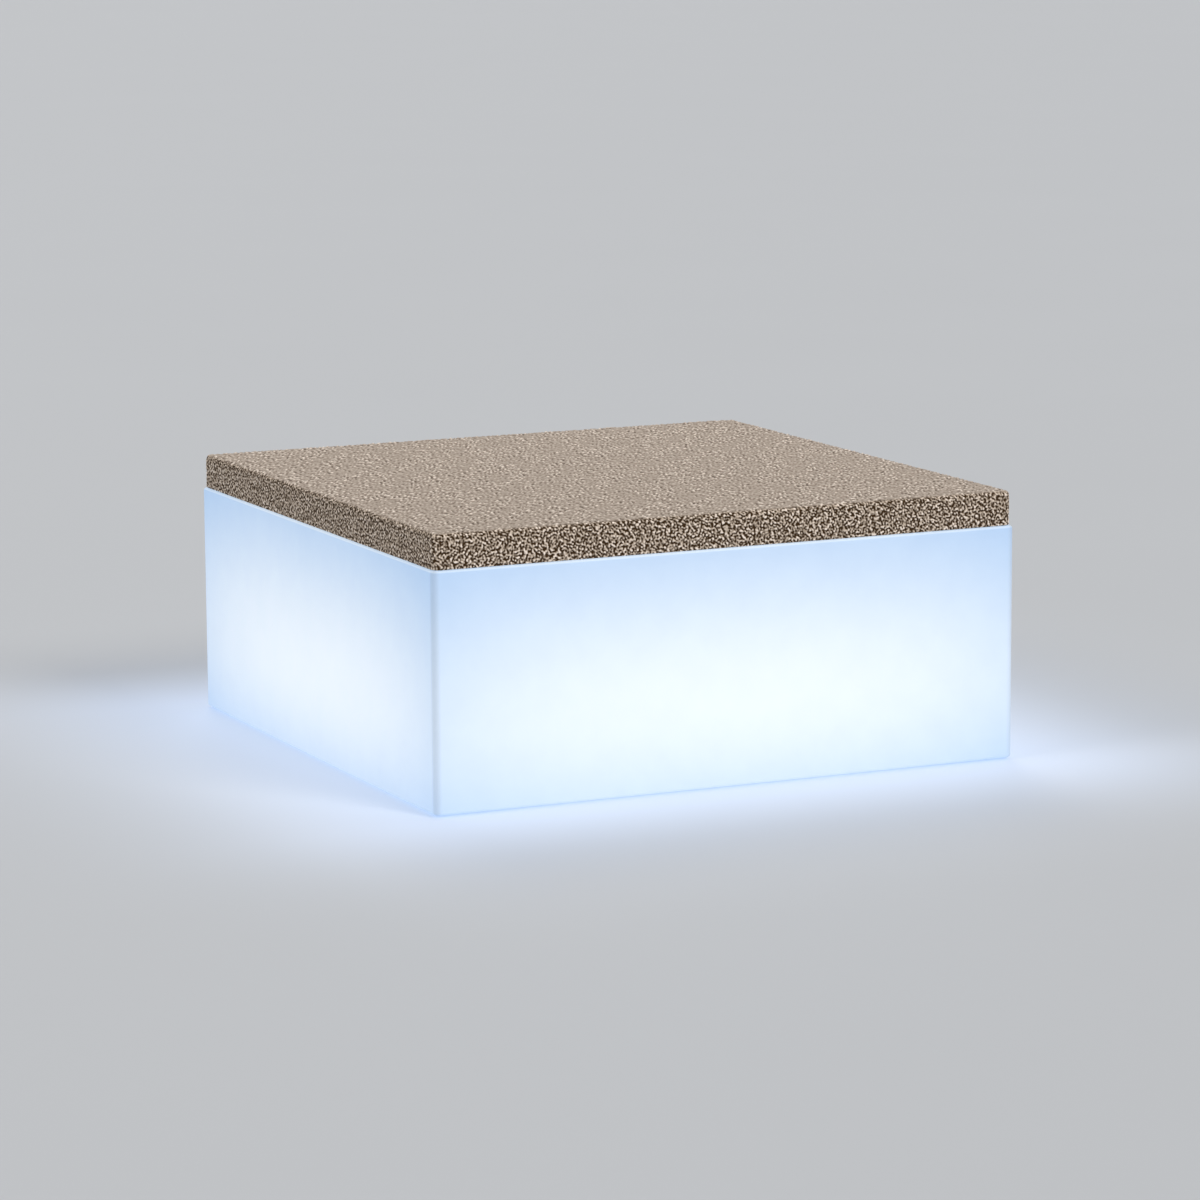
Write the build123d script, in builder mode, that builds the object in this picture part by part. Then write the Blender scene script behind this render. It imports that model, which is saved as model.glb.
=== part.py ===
from build123d import *

import os
from math import asin, cos, hypot, sin, sqrt

os.makedirs("parts", exist_ok=True)

# A square outdoor pouf that glows. A hollow moulded body of milky plastic stands on four glides
# and carries a flat upholstered seat pad. A round lamp is screwed into a recess in its underside:
# a tub with a battery and a control board, under a plate of light chips and an opal dome.
# Millimetres. X runs along the front, Y to the back, Z up, and the floor is at Z = 0 under the centre.

# Moulded body
BODY_SIDE = 1000
BODY_HEIGHT = 374
BODY_WALL = 6
BODY_CORNER_RADIUS = 10
BODY_TOP_RADIUS = 4
BODY_FOOT_RADIUS = 5
INNER_RADIUS_LEAST = 2
STAND_GAP = 3

# Glides under the body
GLIDE_RADIUS = 21
GLIDE_FROM_EDGE = 75
GLIDE_RECESS = 4
GLIDE_EDGE_RADIUS = 1
GLIDE_SCREW_SEAT = 3
GLIDE_BOSS_WALL = 6
GLIDE_SCREW_RADIUS = 2.5
GLIDE_SCREW_LENGTH = 18
GLIDE_HEAD_RADIUS = 5
GLIDE_HEAD_HEIGHT = 2.6

# Seat pad
PAD_INSET = 3.5
PAD_THICKNESS = 56
PAD_CORNER_RADIUS = 12
PAD_TOP_RADIUS = 8
PAD_FOOT_RADIUS = 2.5
CLOTH = 2
SEAM_BELOW_TOP = 9
FOOT_TURN = 12
SEAT_GAP = 0.2

# Hook and loop tapes that hold the pad
TAPE_LENGTH = 160
TAPE_WIDTH = 50
TAPE_FROM_EDGE = 150
HOOK_THICKNESS = 1.5
LOOP_THICKNESS = 1.2
TAPE_EASE = 1

# Zip in the back of the pad
ZIP_FROM_CORNER = 66
ZIP_WIDTH = 16
ZIP_SINK = 6
ZIP_TAPE_THICKNESS = 0.8
TEETH_WIDTH = 6
TEETH_THICKNESS = 1.6
TEETH_ROOT_WIDTH = 2.4
TEETH_ROOT_HEIGHT = 1
STOP_LENGTH = 4
SLIDER_LENGTH = 12
SLIDER_WALL = 1.3
SLIDER_PLATE = 0.8
SLIDER_EASE = 0.2
PULL_LENGTH = 26
PULL_WIDTH = 8
PULL_THICKNESS = 1.4
PULL_EYE_RADIUS = 1.6
PULL_EYE_WIDTH = 4.2
PULL_PIN_RADIUS = 0.7
PULL_HOLE_RADIUS = 3 / 2
PULL_RISE = 1

# Lamp recess in the underside
RECESS_DEPTH = 26
RECESS_MARGIN = 28
RECESS_MOUTH_RADIUS = 4
OPENING_EASE = 4

# Lamp tub, as wide as what stands in it
TUB_ROOM = 10.5
TUB_WALL = 3.5
TUB_HEIGHT = 62
FLANGE_THICKNESS = 5
FLANGE_WIDTH = 32
GASKET_THICKNESS = 2
PILLAR_COUNT = 6
PILLAR_RADIUS = 5
PILLAR_BITE = 1

# Flange screws and the inserts that they turn into
FLANGE_SCREW_COUNT = 6
FLANGE_SCREW_RADIUS = 2.5
FLANGE_SCREW_LENGTH = 20
FLANGE_HEAD_RADIUS = 4.75
FLANGE_HEAD_HEIGHT = 3
INSERT_RADIUS = 4
INSERT_LENGTH = 12
BOSS_WALL = 5
SCREW_TIP_ROOM = 1.5

# Light plate, chips and dome
PLATE_THICKNESS = 3
CHIP_BOARD_MARGIN = 5.5
CHIP_BOARD_THICKNESS = 1.6
CHIP_BOARD_BORE = 6
CHIP_SIDE = 5
CHIP_HEIGHT = 1.6
CHIP_FROM_EDGE = 8
CHIP_INNER_RING = 22
CHIP_RING_COUNT = 3
CHIP_STEP_COUNT = 6
CHIP_SCREW_COUNT = 4
TERMINAL_LENGTH = 8
TERMINAL_ROOF = 3
GROMMET_RADIUS = 5
GROMMET_LIP = 1.5
DOME_RISE = 38
DOME_WALL = 2.5
DOME_FLANGE = 3
CLAMP_WIDTH = 15
CLAMP_THICKNESS = 4
CLAMP_GAP = 1.5
CLAMP_SCREW_RADIUS = 2
CLAMP_SCREW_THREAD = 14
CLAMP_HEAD_RADIUS = 3.75
CLAMP_HEAD_HEIGHT = 2.5
SEAL_CORD_RADIUS = 1.2
SEAL_FROM_SCREWS = 6.5

# Battery
CELL_COUNT = 6
CELL_RADIUS = 9.2
CELL_LENGTH = 65
CELL_SPACING = 0.8
TRAY_FLOOR = 2
TRAY_HEIGHT = 14
TRAY_END = 2
TAB_THICKNESS = 0.4
TAB_HEIGHT = 8
SADDLE_WIDTH = 16
SADDLE_THICKNESS = 1.2
SADDLE_FOOT = 10

# Control board
BOARD_LENGTH = 112
BOARD_THICKNESS = 1.6
BOARD_ABOVE_CELLS = 8
STANDOFF_RADIUS = 4
STANDOFF_GAP = 1
STANDOFF_FROM_EDGE = 6
SOCKET_LENGTH = 10
SOCKET_WIDTH = 12
SOCKET_HEIGHT = 6
CHOKE_RADIUS = 8
CHOKE_HEIGHT = 9
CAPACITOR_RADIUS = 5
CAPACITOR_HEIGHT = 12
RADIO_LENGTH = 24
RADIO_WIDTH = 16
RADIO_HEIGHT = 3

# Small screws shared by the boards and the saddle
SMALL_SCREW_RADIUS = 1.5
SMALL_HEAD_RADIUS = 2.75
SMALL_HEAD_HEIGHT = 2
SMALL_SCREW_BITE = 3.5
CHIP_SCREW_BITE = 2.4

# Push switch
SWITCH_X = -28
SWITCH_THREAD_RADIUS = 9.5
SWITCH_RIM = 2.5
SWITCH_RIM_THICKNESS = 2
SWITCH_LIP = 1.5
SWITCH_DEPTH = 18
SWITCH_BACK = 4
BUTTON_FACE_RADIUS = 6
BUTTON_SHOULDER = 1
BUTTON_PROUD = 1.5
BUTTON_TRAVEL = 1.5
BUTTON_BODY = 9.5
BUTTON_DISH = 0.5
STEM_RADIUS = 2.4
STEM_LENGTH = 8
SPRING_RADIUS = 4.5
SPRING_WIRE_RADIUS = 0.3
SPRING_TURNS = 4
BLOCK_LENGTH = 14
NUT_ACROSS = 24
NUT_THICKNESS = 4

# Charging socket with its hinged cap
INLET_X = 28
INLET_THREAD_RADIUS = 6
INLET_RIM_RADIUS = 9
INLET_RIM_THICKNESS = 2.5
INLET_LENGTH = 18
INLET_BORE_RADIUS = 3.2
INLET_BORE_DEPTH = 11.5
CONTACT_RADIUS = 1.05
CONTACT_SINK = 4
CONTACT_SETBACK = 1.7
INLET_NUT_ACROSS = 17
INLET_NUT_THICKNESS = 3.5
CAP_RADIUS = 6.4
CAP_THICKNESS = 2
CAP_GAP = 0.2
SPIGOT_LENGTH = 1.3
HINGE_EYE_RADIUS = 1.9
HINGE_PIN_RADIUS = 0.85
KNUCKLE_WIDTH = 6
LUG_THICKNESS = 2
HINGE_SIDE_GAP = 0.2

# Vent and status light in the tub floor
VENT_RADIUS = 6
VENT_CAP_RADIUS = 8.5
VENT_CAP_HEIGHT = 4
VENT_LENGTH = 10
STATUS_RADIUS = 2.5
STATUS_HEAD_RADIUS = 3.5
STATUS_HEAD_HEIGHT = 1.5
STATUS_LENGTH = 8

# Leads between the parts of the lamp
LEAD_RADIUS = 1.5
LEAD_BEND = 9
LIGHT_LEAD_BEND = 6
BATTERY_LEAD_X = 30

# Fits
THREAD_FIT = 0.05
HOLE_FIT = 0.25
RUN_FIT = 0.1
PART_GAP = 0.5
SEAL_THICKNESS = 1

# Levels and places that follow from the sizes above
body_foot_z = STAND_GAP
body_top_z = STAND_GAP + BODY_HEIGHT
pad_foot_z = body_top_z + SEAT_GAP
pad_top_z = pad_foot_z + PAD_THICKNESS
pad_side = BODY_SIDE - 2 * PAD_INSET
foam_side = pad_side - 2 * CLOTH
tape_recess = HOOK_THICKNESS + LOOP_THICKNESS
tape_place = BODY_SIDE / 2 - TAPE_FROM_EDGE
glide_place = BODY_SIDE / 2 - GLIDE_FROM_EDGE
recess_roof_z = body_foot_z + RECESS_DEPTH

# Plan of the lamp, from the battery outwards: tray, board on its posts, fittings, tub wall
cell_pitch = 2 * CELL_RADIUS + CELL_SPACING
tray_length = CELL_COUNT * cell_pitch + 2 * TRAY_END
tray_inner_width = CELL_LENGTH + 2 * (TAB_THICKNESS + RUN_FIT)
tray_width = tray_inner_width + 2 * TRAY_END
standoff_x = BOARD_LENGTH / 2 - STANDOFF_FROM_EDGE
standoff_y = tray_width / 2 + STANDOFF_RADIUS + STANDOFF_GAP
board_width = 2 * (standoff_y + STANDOFF_FROM_EDGE)
fitting_y = -(board_width / 2 + LEAD_BEND + PART_GAP)
vent_y = -fitting_y
nut_reach = NUT_ACROSS / sqrt(3)
switch_reach = hypot(SWITCH_X, fitting_y) + nut_reach
tray_reach = hypot(tray_length / 2, tray_width / 2)
tub_inner_radius = max(switch_reach, tray_reach) + TUB_ROOM
tub_radius = tub_inner_radius + TUB_WALL
flange_radius = tub_radius + FLANGE_WIDTH
recess_radius = flange_radius + RECESS_MARGIN
opening_radius = tub_radius + OPENING_EASE
flange_circle = tub_radius + FLANGE_WIDTH / 2
boss_radius = INSERT_RADIUS + BOSS_WALL
screw_reach = FLANGE_SCREW_LENGTH - FLANGE_THICKNESS - GASKET_THICKNESS
insert_hole_depth = max(INSERT_LENGTH, screw_reach) + SCREW_TIP_ROOM
flange_top_z = recess_roof_z - GASKET_THICKNESS
flange_foot_z = flange_top_z - FLANGE_THICKNESS
tub_rim_z = flange_foot_z + TUB_HEIGHT
pillar_circle = tub_inner_radius - PILLAR_RADIUS + PILLAR_BITE
pillar_turn = 180 / PILLAR_COUNT
plate_top_z = tub_rim_z + PLATE_THICKNESS
chip_top_z = plate_top_z + CHIP_BOARD_THICKNESS
dome_flange_z = plate_top_z + DOME_FLANGE
clamp_top_z = dome_flange_z + CLAMP_THICKNESS


def four_corners(distance):
    """The places of a square of four pieces, one towards each corner of the body."""
    return GridLocations(2 * distance, 2 * distance, 2, 2)


def rounded_block(side, foot_z, height, corner_radius, top_radius, foot_radius):
    """A square block with its upright, top and foot edges each rounded by their own radius."""
    with BuildPart() as block:
        with BuildSketch(Plane.XY.offset(foot_z)):
            RectangleRounded(side, side, corner_radius)
        extrude(amount=height)
        fillet(block.faces().sort_by(Axis.Z)[-1].outer_wire().edges(), top_radius)
        fillet(block.faces().sort_by(Axis.Z)[0].outer_wire().edges(), foot_radius)
    return block.part


def cap_screw(head_radius, head_height, shank_radius, shank_length):
    """A screw with a socket in its head, seated at Z = 0 with its shank pointing up."""
    with BuildPart() as screw:
        with Locations((0, 0, -head_height)):
            Cylinder(head_radius, head_height, align=(Align.CENTER, Align.CENTER, Align.MIN))
        fillet(screw.edges().sort_by(Axis.Z)[0], head_height / 4)
        Cylinder(shank_radius, shank_length, align=(Align.CENTER, Align.CENTER, Align.MIN))
        chamfer(screw.edges().sort_by(Axis.Z)[-1], shank_radius / 4)
        with BuildSketch(Plane.XY.offset(-head_height)):
            RegularPolygon(head_radius / 2, 6)
        extrude(amount=head_height * 0.6, mode=Mode.SUBTRACT)
    return screw.part


def hex_nut(across, thickness, bore_radius, foot_z):
    """A hexagon nut with its lower face at foot_z."""
    with BuildPart() as nut:
        with BuildSketch(Plane.XY.offset(foot_z)):
            RegularPolygon(across / 2, 6, major_radius=False)
            Circle(bore_radius, mode=Mode.SUBTRACT)
        extrude(amount=thickness)
    return nut.part


def lead(bend, *points):
    """A round lead along straight runs joined by bends of one size."""
    with BuildPart() as tube:
        with BuildLine() as route:
            FilletPolyline(*points, radius=bend)
        with BuildSketch(Plane(route.line @ 0, z_dir=route.line % 0)):
            Circle(LEAD_RADIUS)
        sweep()
    return tube.part


# Moulded body: a hollow block with the lamp recess, screw bosses and tape landings
glide_boss_radius = GLIDE_SCREW_RADIUS + GLIDE_BOSS_WALL
glide_roof_z = body_foot_z + GLIDE_RECESS
glide_head_z = STAND_GAP + GLIDE_RECESS - GLIDE_SCREW_SEAT
glide_hole_depth = GLIDE_SCREW_LENGTH - GLIDE_SCREW_SEAT + GLIDE_SCREW_RADIUS
glide_hole_radius = GLIDE_SCREW_RADIUS + THREAD_FIT
inner_radius = max(BODY_CORNER_RADIUS - BODY_WALL, 2 * INNER_RADIUS_LEAST)
landing_length = TAPE_LENGTH + 2 * (TAPE_EASE + BODY_WALL)
landing_width = TAPE_WIDTH + 2 * (TAPE_EASE + BODY_WALL)

body_block = rounded_block(
    BODY_SIDE, body_foot_z, BODY_HEIGHT, BODY_CORNER_RADIUS, BODY_TOP_RADIUS, BODY_FOOT_RADIUS
)
body_hollow = rounded_block(
    BODY_SIDE - 2 * BODY_WALL,
    body_foot_z + BODY_WALL,
    BODY_HEIGHT - 2 * BODY_WALL,
    inner_radius,
    INNER_RADIUS_LEAST,
    INNER_RADIUS_LEAST,
)
with BuildPart() as body_shell:
    add(body_block)
    add(body_hollow, mode=Mode.SUBTRACT)
    with BuildSketch(Plane.XY.offset(body_foot_z + BODY_WALL / 2)):
        Circle(recess_radius + BODY_WALL)
    extrude(amount=RECESS_DEPTH + BODY_WALL / 2)
    with BuildSketch(Plane.XY.offset(recess_roof_z + BODY_WALL / 2)):
        with PolarLocations(flange_circle, FLANGE_SCREW_COUNT):
            Circle(boss_radius)
    extrude(amount=insert_hole_depth + BODY_WALL / 2)
    with BuildSketch(Plane.XY.offset(body_foot_z)):
        Circle(recess_radius)
    extrude(amount=RECESS_DEPTH, mode=Mode.SUBTRACT)
    mouth = body_shell.edges().filter_by(GeomType.CIRCLE).group_by(Axis.Z)[0]
    fillet(mouth.sort_by(SortBy.RADIUS)[-1], RECESS_MOUTH_RADIUS)
    with BuildSketch(Plane.XY.offset(recess_roof_z)):
        Circle(opening_radius)
    extrude(amount=boss_radius + insert_hole_depth + BODY_WALL, mode=Mode.SUBTRACT)
    with BuildSketch(Plane.XY.offset(recess_roof_z)):
        with PolarLocations(flange_circle, FLANGE_SCREW_COUNT):
            Circle(INSERT_RADIUS + THREAD_FIT)
    extrude(amount=insert_hole_depth, mode=Mode.SUBTRACT)
    with BuildSketch(Plane.XY.offset(body_foot_z + BODY_WALL / 2)):
        with four_corners(glide_place):
            Circle(GLIDE_RADIUS + HOLE_FIT + BODY_WALL)
    extrude(amount=GLIDE_RECESS + BODY_WALL / 2)
    with BuildSketch(Plane.XY.offset(body_foot_z + BODY_WALL / 2)):
        with four_corners(glide_place):
            Circle(glide_boss_radius)
    extrude(amount=GLIDE_RECESS + glide_hole_depth + BODY_WALL / 2)
    with BuildSketch(Plane.XY.offset(body_foot_z)):
        with four_corners(glide_place):
            Circle(GLIDE_RADIUS + HOLE_FIT)
    extrude(amount=GLIDE_RECESS, mode=Mode.SUBTRACT)
    with BuildSketch(Plane.XY.offset(glide_roof_z)):
        with four_corners(glide_place):
            Circle(glide_hole_radius)
    extrude(amount=glide_hole_depth, mode=Mode.SUBTRACT)
    with BuildSketch(Plane.XY.offset(body_top_z - BODY_WALL / 2)):
        with four_corners(tape_place):
            Rectangle(landing_length, landing_width)
    extrude(amount=-tape_recess - BODY_WALL / 2)
    with BuildSketch(Plane.XY.offset(body_top_z)):
        with four_corners(tape_place):
            Rectangle(TAPE_LENGTH + 2 * TAPE_EASE, TAPE_WIDTH + 2 * TAPE_EASE)
    extrude(amount=-tape_recess, mode=Mode.SUBTRACT)
body_shell.part.label = "body_shell"
export_step(body_shell.part, "parts/body_shell.step")

# Glides: round feet that the body stands on, each held by one screw
with BuildPart() as glides:
    with BuildSketch(Plane.XY):
        with four_corners(glide_place):
            Circle(GLIDE_RADIUS)
    extrude(amount=STAND_GAP + GLIDE_RECESS)
    fillet(glides.edges().group_by(Axis.Z)[0], GLIDE_EDGE_RADIUS)
    with BuildSketch(Plane.XY):
        with four_corners(glide_place):
            Circle(GLIDE_HEAD_RADIUS + PART_GAP)
    extrude(amount=glide_head_z, mode=Mode.SUBTRACT)
    with BuildSketch(Plane.XY):
        with four_corners(glide_place):
            Circle(GLIDE_SCREW_RADIUS + HOLE_FIT)
    extrude(amount=STAND_GAP + GLIDE_RECESS, mode=Mode.SUBTRACT)
glides.part.label = "glides"
export_step(glides.part, "parts/glides.step")

glide_screw = cap_screw(
    GLIDE_HEAD_RADIUS, GLIDE_HEAD_HEIGHT, GLIDE_SCREW_RADIUS, GLIDE_SCREW_LENGTH
)
with BuildPart() as glide_screws:
    with Locations((0, 0, glide_head_z)):
        with four_corners(glide_place):
            add(glide_screw)
glide_screws.part.label = "glide_screws"
export_step(glide_screws.part, "parts/glide_screws.step")

# Inserts moulded into the bosses over the recess roof
with BuildPart() as flange_inserts:
    with BuildSketch(Plane.XY.offset(recess_roof_z)):
        with PolarLocations(flange_circle, FLANGE_SCREW_COUNT):
            Circle(INSERT_RADIUS)
            Circle(FLANGE_SCREW_RADIUS + THREAD_FIT, mode=Mode.SUBTRACT)
    extrude(amount=INSERT_LENGTH)
flange_inserts.part.label = "flange_inserts"
export_step(flange_inserts.part, "parts/flange_inserts.step")

# Levels of the battery and the board, which the tub's posts follow
cell_axis_z = flange_top_z + TRAY_FLOOR + CELL_RADIUS + RUN_FIT
cell_top_z = cell_axis_z + CELL_RADIUS
rim_top_z = flange_foot_z - SEAL_THICKNESS
block_foot_z = rim_top_z + SWITCH_DEPTH - SWITCH_BACK + SEAL_THICKNESS
block_top_z = block_foot_z + BLOCK_LENGTH
lead_entry_least = block_top_z + LEAD_BEND + PART_GAP
board_above_switch = lead_entry_least - SOCKET_HEIGHT / 2 - BOARD_THICKNESS
board_foot_z = max(cell_top_z + BOARD_ABOVE_CELLS, board_above_switch)
board_top_z = board_foot_z + BOARD_THICKNESS
saddle_inner_half = tray_length / 2 + RUN_FIT
saddle_screw_x = saddle_inner_half + SADDLE_THICKNESS + SADDLE_FOOT / 2
small_hole_radius = SMALL_SCREW_RADIUS + THREAD_FIT

# Lamp tub: a cast pot with a broad flange, pillars for the dome and posts for the board
with BuildPart() as lamp_tub:
    with BuildSketch(Plane.XY.offset(flange_foot_z)):
        Circle(flange_radius)
    extrude(amount=FLANGE_THICKNESS)
    fillet(lamp_tub.edges().group_by(Axis.Z)[0], FLANGE_THICKNESS / 4)
    with BuildSketch(Plane.XY.offset(flange_top_z)):
        Circle(tub_radius)
        Circle(tub_inner_radius, mode=Mode.SUBTRACT)
        with PolarLocations(pillar_circle, PILLAR_COUNT, start_angle=pillar_turn):
            Circle(PILLAR_RADIUS)
    extrude(amount=TUB_HEIGHT - FLANGE_THICKNESS)
    with BuildSketch(Plane.XY.offset(flange_top_z)):
        with GridLocations(2 * standoff_x, 2 * standoff_y, 2, 2):
            Circle(STANDOFF_RADIUS)
    extrude(amount=board_foot_z - flange_top_z)
    with BuildSketch(Plane.XY.offset(board_foot_z)):
        with GridLocations(2 * standoff_x, 2 * standoff_y, 2, 2):
            Circle(small_hole_radius)
    extrude(amount=-SMALL_SCREW_BITE - SMALL_SCREW_RADIUS, mode=Mode.SUBTRACT)
    with BuildSketch(Plane.XY.offset(tub_rim_z)):
        with PolarLocations(pillar_circle, PILLAR_COUNT, start_angle=pillar_turn):
            Circle(CLAMP_SCREW_RADIUS + THREAD_FIT)
    extrude(amount=-CLAMP_SCREW_THREAD - CLAMP_SCREW_RADIUS, mode=Mode.SUBTRACT)
    with BuildSketch(Plane.XY.offset(flange_top_z)):
        with GridLocations(2 * saddle_screw_x, 0, 2, 1):
            Circle(small_hole_radius)
    extrude(amount=-SMALL_SCREW_BITE - RUN_FIT, mode=Mode.SUBTRACT)
    with BuildSketch(Plane.XY.offset(flange_foot_z)):
        with PolarLocations(flange_circle, FLANGE_SCREW_COUNT):
            Circle(FLANGE_SCREW_RADIUS + HOLE_FIT)
        with Locations((SWITCH_X, fitting_y)):
            Circle(SWITCH_THREAD_RADIUS + HOLE_FIT)
        with Locations((INLET_X, fitting_y)):
            Circle(INLET_THREAD_RADIUS + HOLE_FIT)
        with Locations((0, vent_y)):
            Circle(VENT_RADIUS + HOLE_FIT)
        with Locations((0, fitting_y)):
            Circle(STATUS_RADIUS + THREAD_FIT)
    extrude(amount=FLANGE_THICKNESS, mode=Mode.SUBTRACT)
lamp_tub.part.label = "lamp_tub"
export_step(lamp_tub.part, "parts/lamp_tub.step")

with BuildPart() as lamp_gasket:
    with BuildSketch(Plane.XY.offset(flange_top_z)):
        Circle(flange_radius - OPENING_EASE)
        Circle(opening_radius - OPENING_EASE / 2, mode=Mode.SUBTRACT)
        with PolarLocations(flange_circle, FLANGE_SCREW_COUNT):
            Circle(FLANGE_SCREW_RADIUS + HOLE_FIT, mode=Mode.SUBTRACT)
    extrude(amount=GASKET_THICKNESS)
lamp_gasket.part.label = "lamp_gasket"
export_step(lamp_gasket.part, "parts/lamp_gasket.step")

flange_screw = cap_screw(
    FLANGE_HEAD_RADIUS, FLANGE_HEAD_HEIGHT, FLANGE_SCREW_RADIUS, FLANGE_SCREW_LENGTH
)
with BuildPart() as flange_screws:
    with Locations((0, 0, flange_foot_z)):
        with PolarLocations(flange_circle, FLANGE_SCREW_COUNT):
            add(flange_screw)
flange_screws.part.label = "flange_screws"
export_step(flange_screws.part, "parts/flange_screws.step")

# Battery: a cradle with one trough for each cell, the cells, their tabs and a saddle over all
with BuildPart() as battery_tray:
    with BuildSketch(Plane.XY.offset(flange_top_z)):
        Rectangle(tray_length, tray_width)
    extrude(amount=TRAY_HEIGHT)
    with BuildSketch(Plane.XZ.offset(-tray_inner_width / 2)):
        with Locations((0, cell_axis_z)):
            with GridLocations(cell_pitch, 0, CELL_COUNT, 1):
                Circle(CELL_RADIUS + RUN_FIT)
    extrude(amount=tray_inner_width, mode=Mode.SUBTRACT)
    with BuildSketch(Plane.XY.offset(cell_axis_z - TAB_HEIGHT / 2 - RUN_FIT)):
        with GridLocations(0, CELL_LENGTH + TAB_THICKNESS + RUN_FIT, 1, 2):
            Rectangle(tray_length - 2 * TRAY_END, TAB_THICKNESS + RUN_FIT)
    extrude(amount=TRAY_HEIGHT, mode=Mode.SUBTRACT)
battery_tray.part.label = "battery_tray"
export_step(battery_tray.part, "parts/battery_tray.step")

with BuildPart() as battery_cells:
    with BuildSketch(Plane.XZ.offset(-CELL_LENGTH / 2)):
        with Locations((0, cell_axis_z)):
            with GridLocations(cell_pitch, 0, CELL_COUNT, 1):
                Circle(CELL_RADIUS)
    extrude(amount=CELL_LENGTH)
battery_cells.part.label = "battery_cells"
export_step(battery_cells.part, "parts/battery_cells.step")

# Tabs weld the cells in pairs at each end
with BuildPart() as cell_tabs:
    for end in (-1, 1):
        with Locations((0, end * (CELL_LENGTH + TAB_THICKNESS) / 2, cell_axis_z)):
            with GridLocations(2 * cell_pitch, 0, CELL_COUNT // 2, 1):
                Box(2 * cell_pitch - CELL_RADIUS, TAB_THICKNESS, TAB_HEIGHT)
cell_tabs.part.label = "cell_tabs"
export_step(cell_tabs.part, "parts/cell_tabs.step")

saddle_top_z = cell_top_z + RUN_FIT
with BuildPart() as battery_saddle:
    with BuildSketch(Plane.XZ.offset(-SADDLE_WIDTH / 2)):
        with BuildLine():
            outer_half = saddle_inner_half + SADDLE_THICKNESS
            Polyline(
                (outer_half + SADDLE_FOOT, flange_top_z),
                (outer_half + SADDLE_FOOT, flange_top_z + SADDLE_THICKNESS),
                (outer_half, flange_top_z + SADDLE_THICKNESS),
                (outer_half, saddle_top_z + SADDLE_THICKNESS),
                (-outer_half, saddle_top_z + SADDLE_THICKNESS),
                (-outer_half, flange_top_z + SADDLE_THICKNESS),
                (-outer_half - SADDLE_FOOT, flange_top_z + SADDLE_THICKNESS),
                (-outer_half - SADDLE_FOOT, flange_top_z),
                (-saddle_inner_half, flange_top_z),
                (-saddle_inner_half, saddle_top_z),
                (saddle_inner_half, saddle_top_z),
                (saddle_inner_half, flange_top_z),
                close=True,
            )
        make_face()
    extrude(amount=SADDLE_WIDTH)
    with BuildSketch(Plane.XY.offset(flange_top_z)):
        with GridLocations(2 * saddle_screw_x, 0, 2, 1):
            Circle(SMALL_SCREW_RADIUS + HOLE_FIT)
    extrude(amount=SADDLE_THICKNESS, mode=Mode.SUBTRACT)
battery_saddle.part.label = "battery_saddle"
export_step(battery_saddle.part, "parts/battery_saddle.step")

saddle_screw = cap_screw(
    SMALL_HEAD_RADIUS, SMALL_HEAD_HEIGHT, SMALL_SCREW_RADIUS, SADDLE_THICKNESS + SMALL_SCREW_BITE
)
with BuildPart() as saddle_screws:
    with Locations(Plane.XY.offset(flange_top_z + SADDLE_THICKNESS) * Rotation(180, 0, 0)):
        with GridLocations(2 * saddle_screw_x, 0, 2, 1):
            add(saddle_screw)
saddle_screws.part.label = "saddle_screws"
export_step(saddle_screws.part, "parts/saddle_screws.step")

# Control board on its posts, with the parts soldered to it and its screws
with BuildPart() as control_board:
    with BuildSketch(Plane.XY.offset(board_foot_z)):
        RectangleRounded(BOARD_LENGTH, board_width, STANDOFF_RADIUS)
        with GridLocations(2 * standoff_x, 2 * standoff_y, 2, 2):
            Circle(SMALL_SCREW_RADIUS + HOLE_FIT, mode=Mode.SUBTRACT)
    extrude(amount=BOARD_THICKNESS)
control_board.part.label = "control_board"
export_step(control_board.part, "parts/control_board.step")

on_board = (Align.CENTER, Align.CENTER, Align.MIN)
socket_y = board_width / 2 - SOCKET_LENGTH / 2
lead_entry_z = board_top_z + SOCKET_HEIGHT / 2
with BuildPart() as board_parts:
    with Locations(
        (SWITCH_X, -socket_y, board_top_z),
        (INLET_X, -socket_y, board_top_z),
        (BATTERY_LEAD_X, socket_y, board_top_z),
    ):
        Box(SOCKET_WIDTH, SOCKET_LENGTH, SOCKET_HEIGHT, align=on_board)
    with Locations((0, 0, board_top_z)):
        Cylinder(SOCKET_WIDTH / 2, SOCKET_HEIGHT, align=on_board)
    with Locations((-BATTERY_LEAD_X, 0, board_top_z)):
        Cylinder(CHOKE_RADIUS, CHOKE_HEIGHT, align=on_board)
    with Locations((BATTERY_LEAD_X, 0, board_top_z)):
        with GridLocations(0, 3 * CAPACITOR_RADIUS, 1, 2):
            Cylinder(CAPACITOR_RADIUS, CAPACITOR_HEIGHT, align=on_board)
    with Locations((-BATTERY_LEAD_X, socket_y - RADIO_WIDTH / 2, board_top_z)):
        Box(RADIO_LENGTH, RADIO_WIDTH, RADIO_HEIGHT, align=on_board)
board_parts.part.label = "board_parts"
export_step(board_parts.part, "parts/board_parts.step")

board_screw = cap_screw(
    SMALL_HEAD_RADIUS, SMALL_HEAD_HEIGHT, SMALL_SCREW_RADIUS, BOARD_THICKNESS + SMALL_SCREW_BITE
)
with BuildPart() as board_screws:
    with Locations(Plane.XY.offset(board_top_z) * Rotation(180, 0, 0)):
        with GridLocations(2 * standoff_x, 2 * standoff_y, 2, 2):
            add(board_screw)
board_screws.part.label = "board_screws"
export_step(board_screws.part, "parts/board_screws.step")

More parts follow.
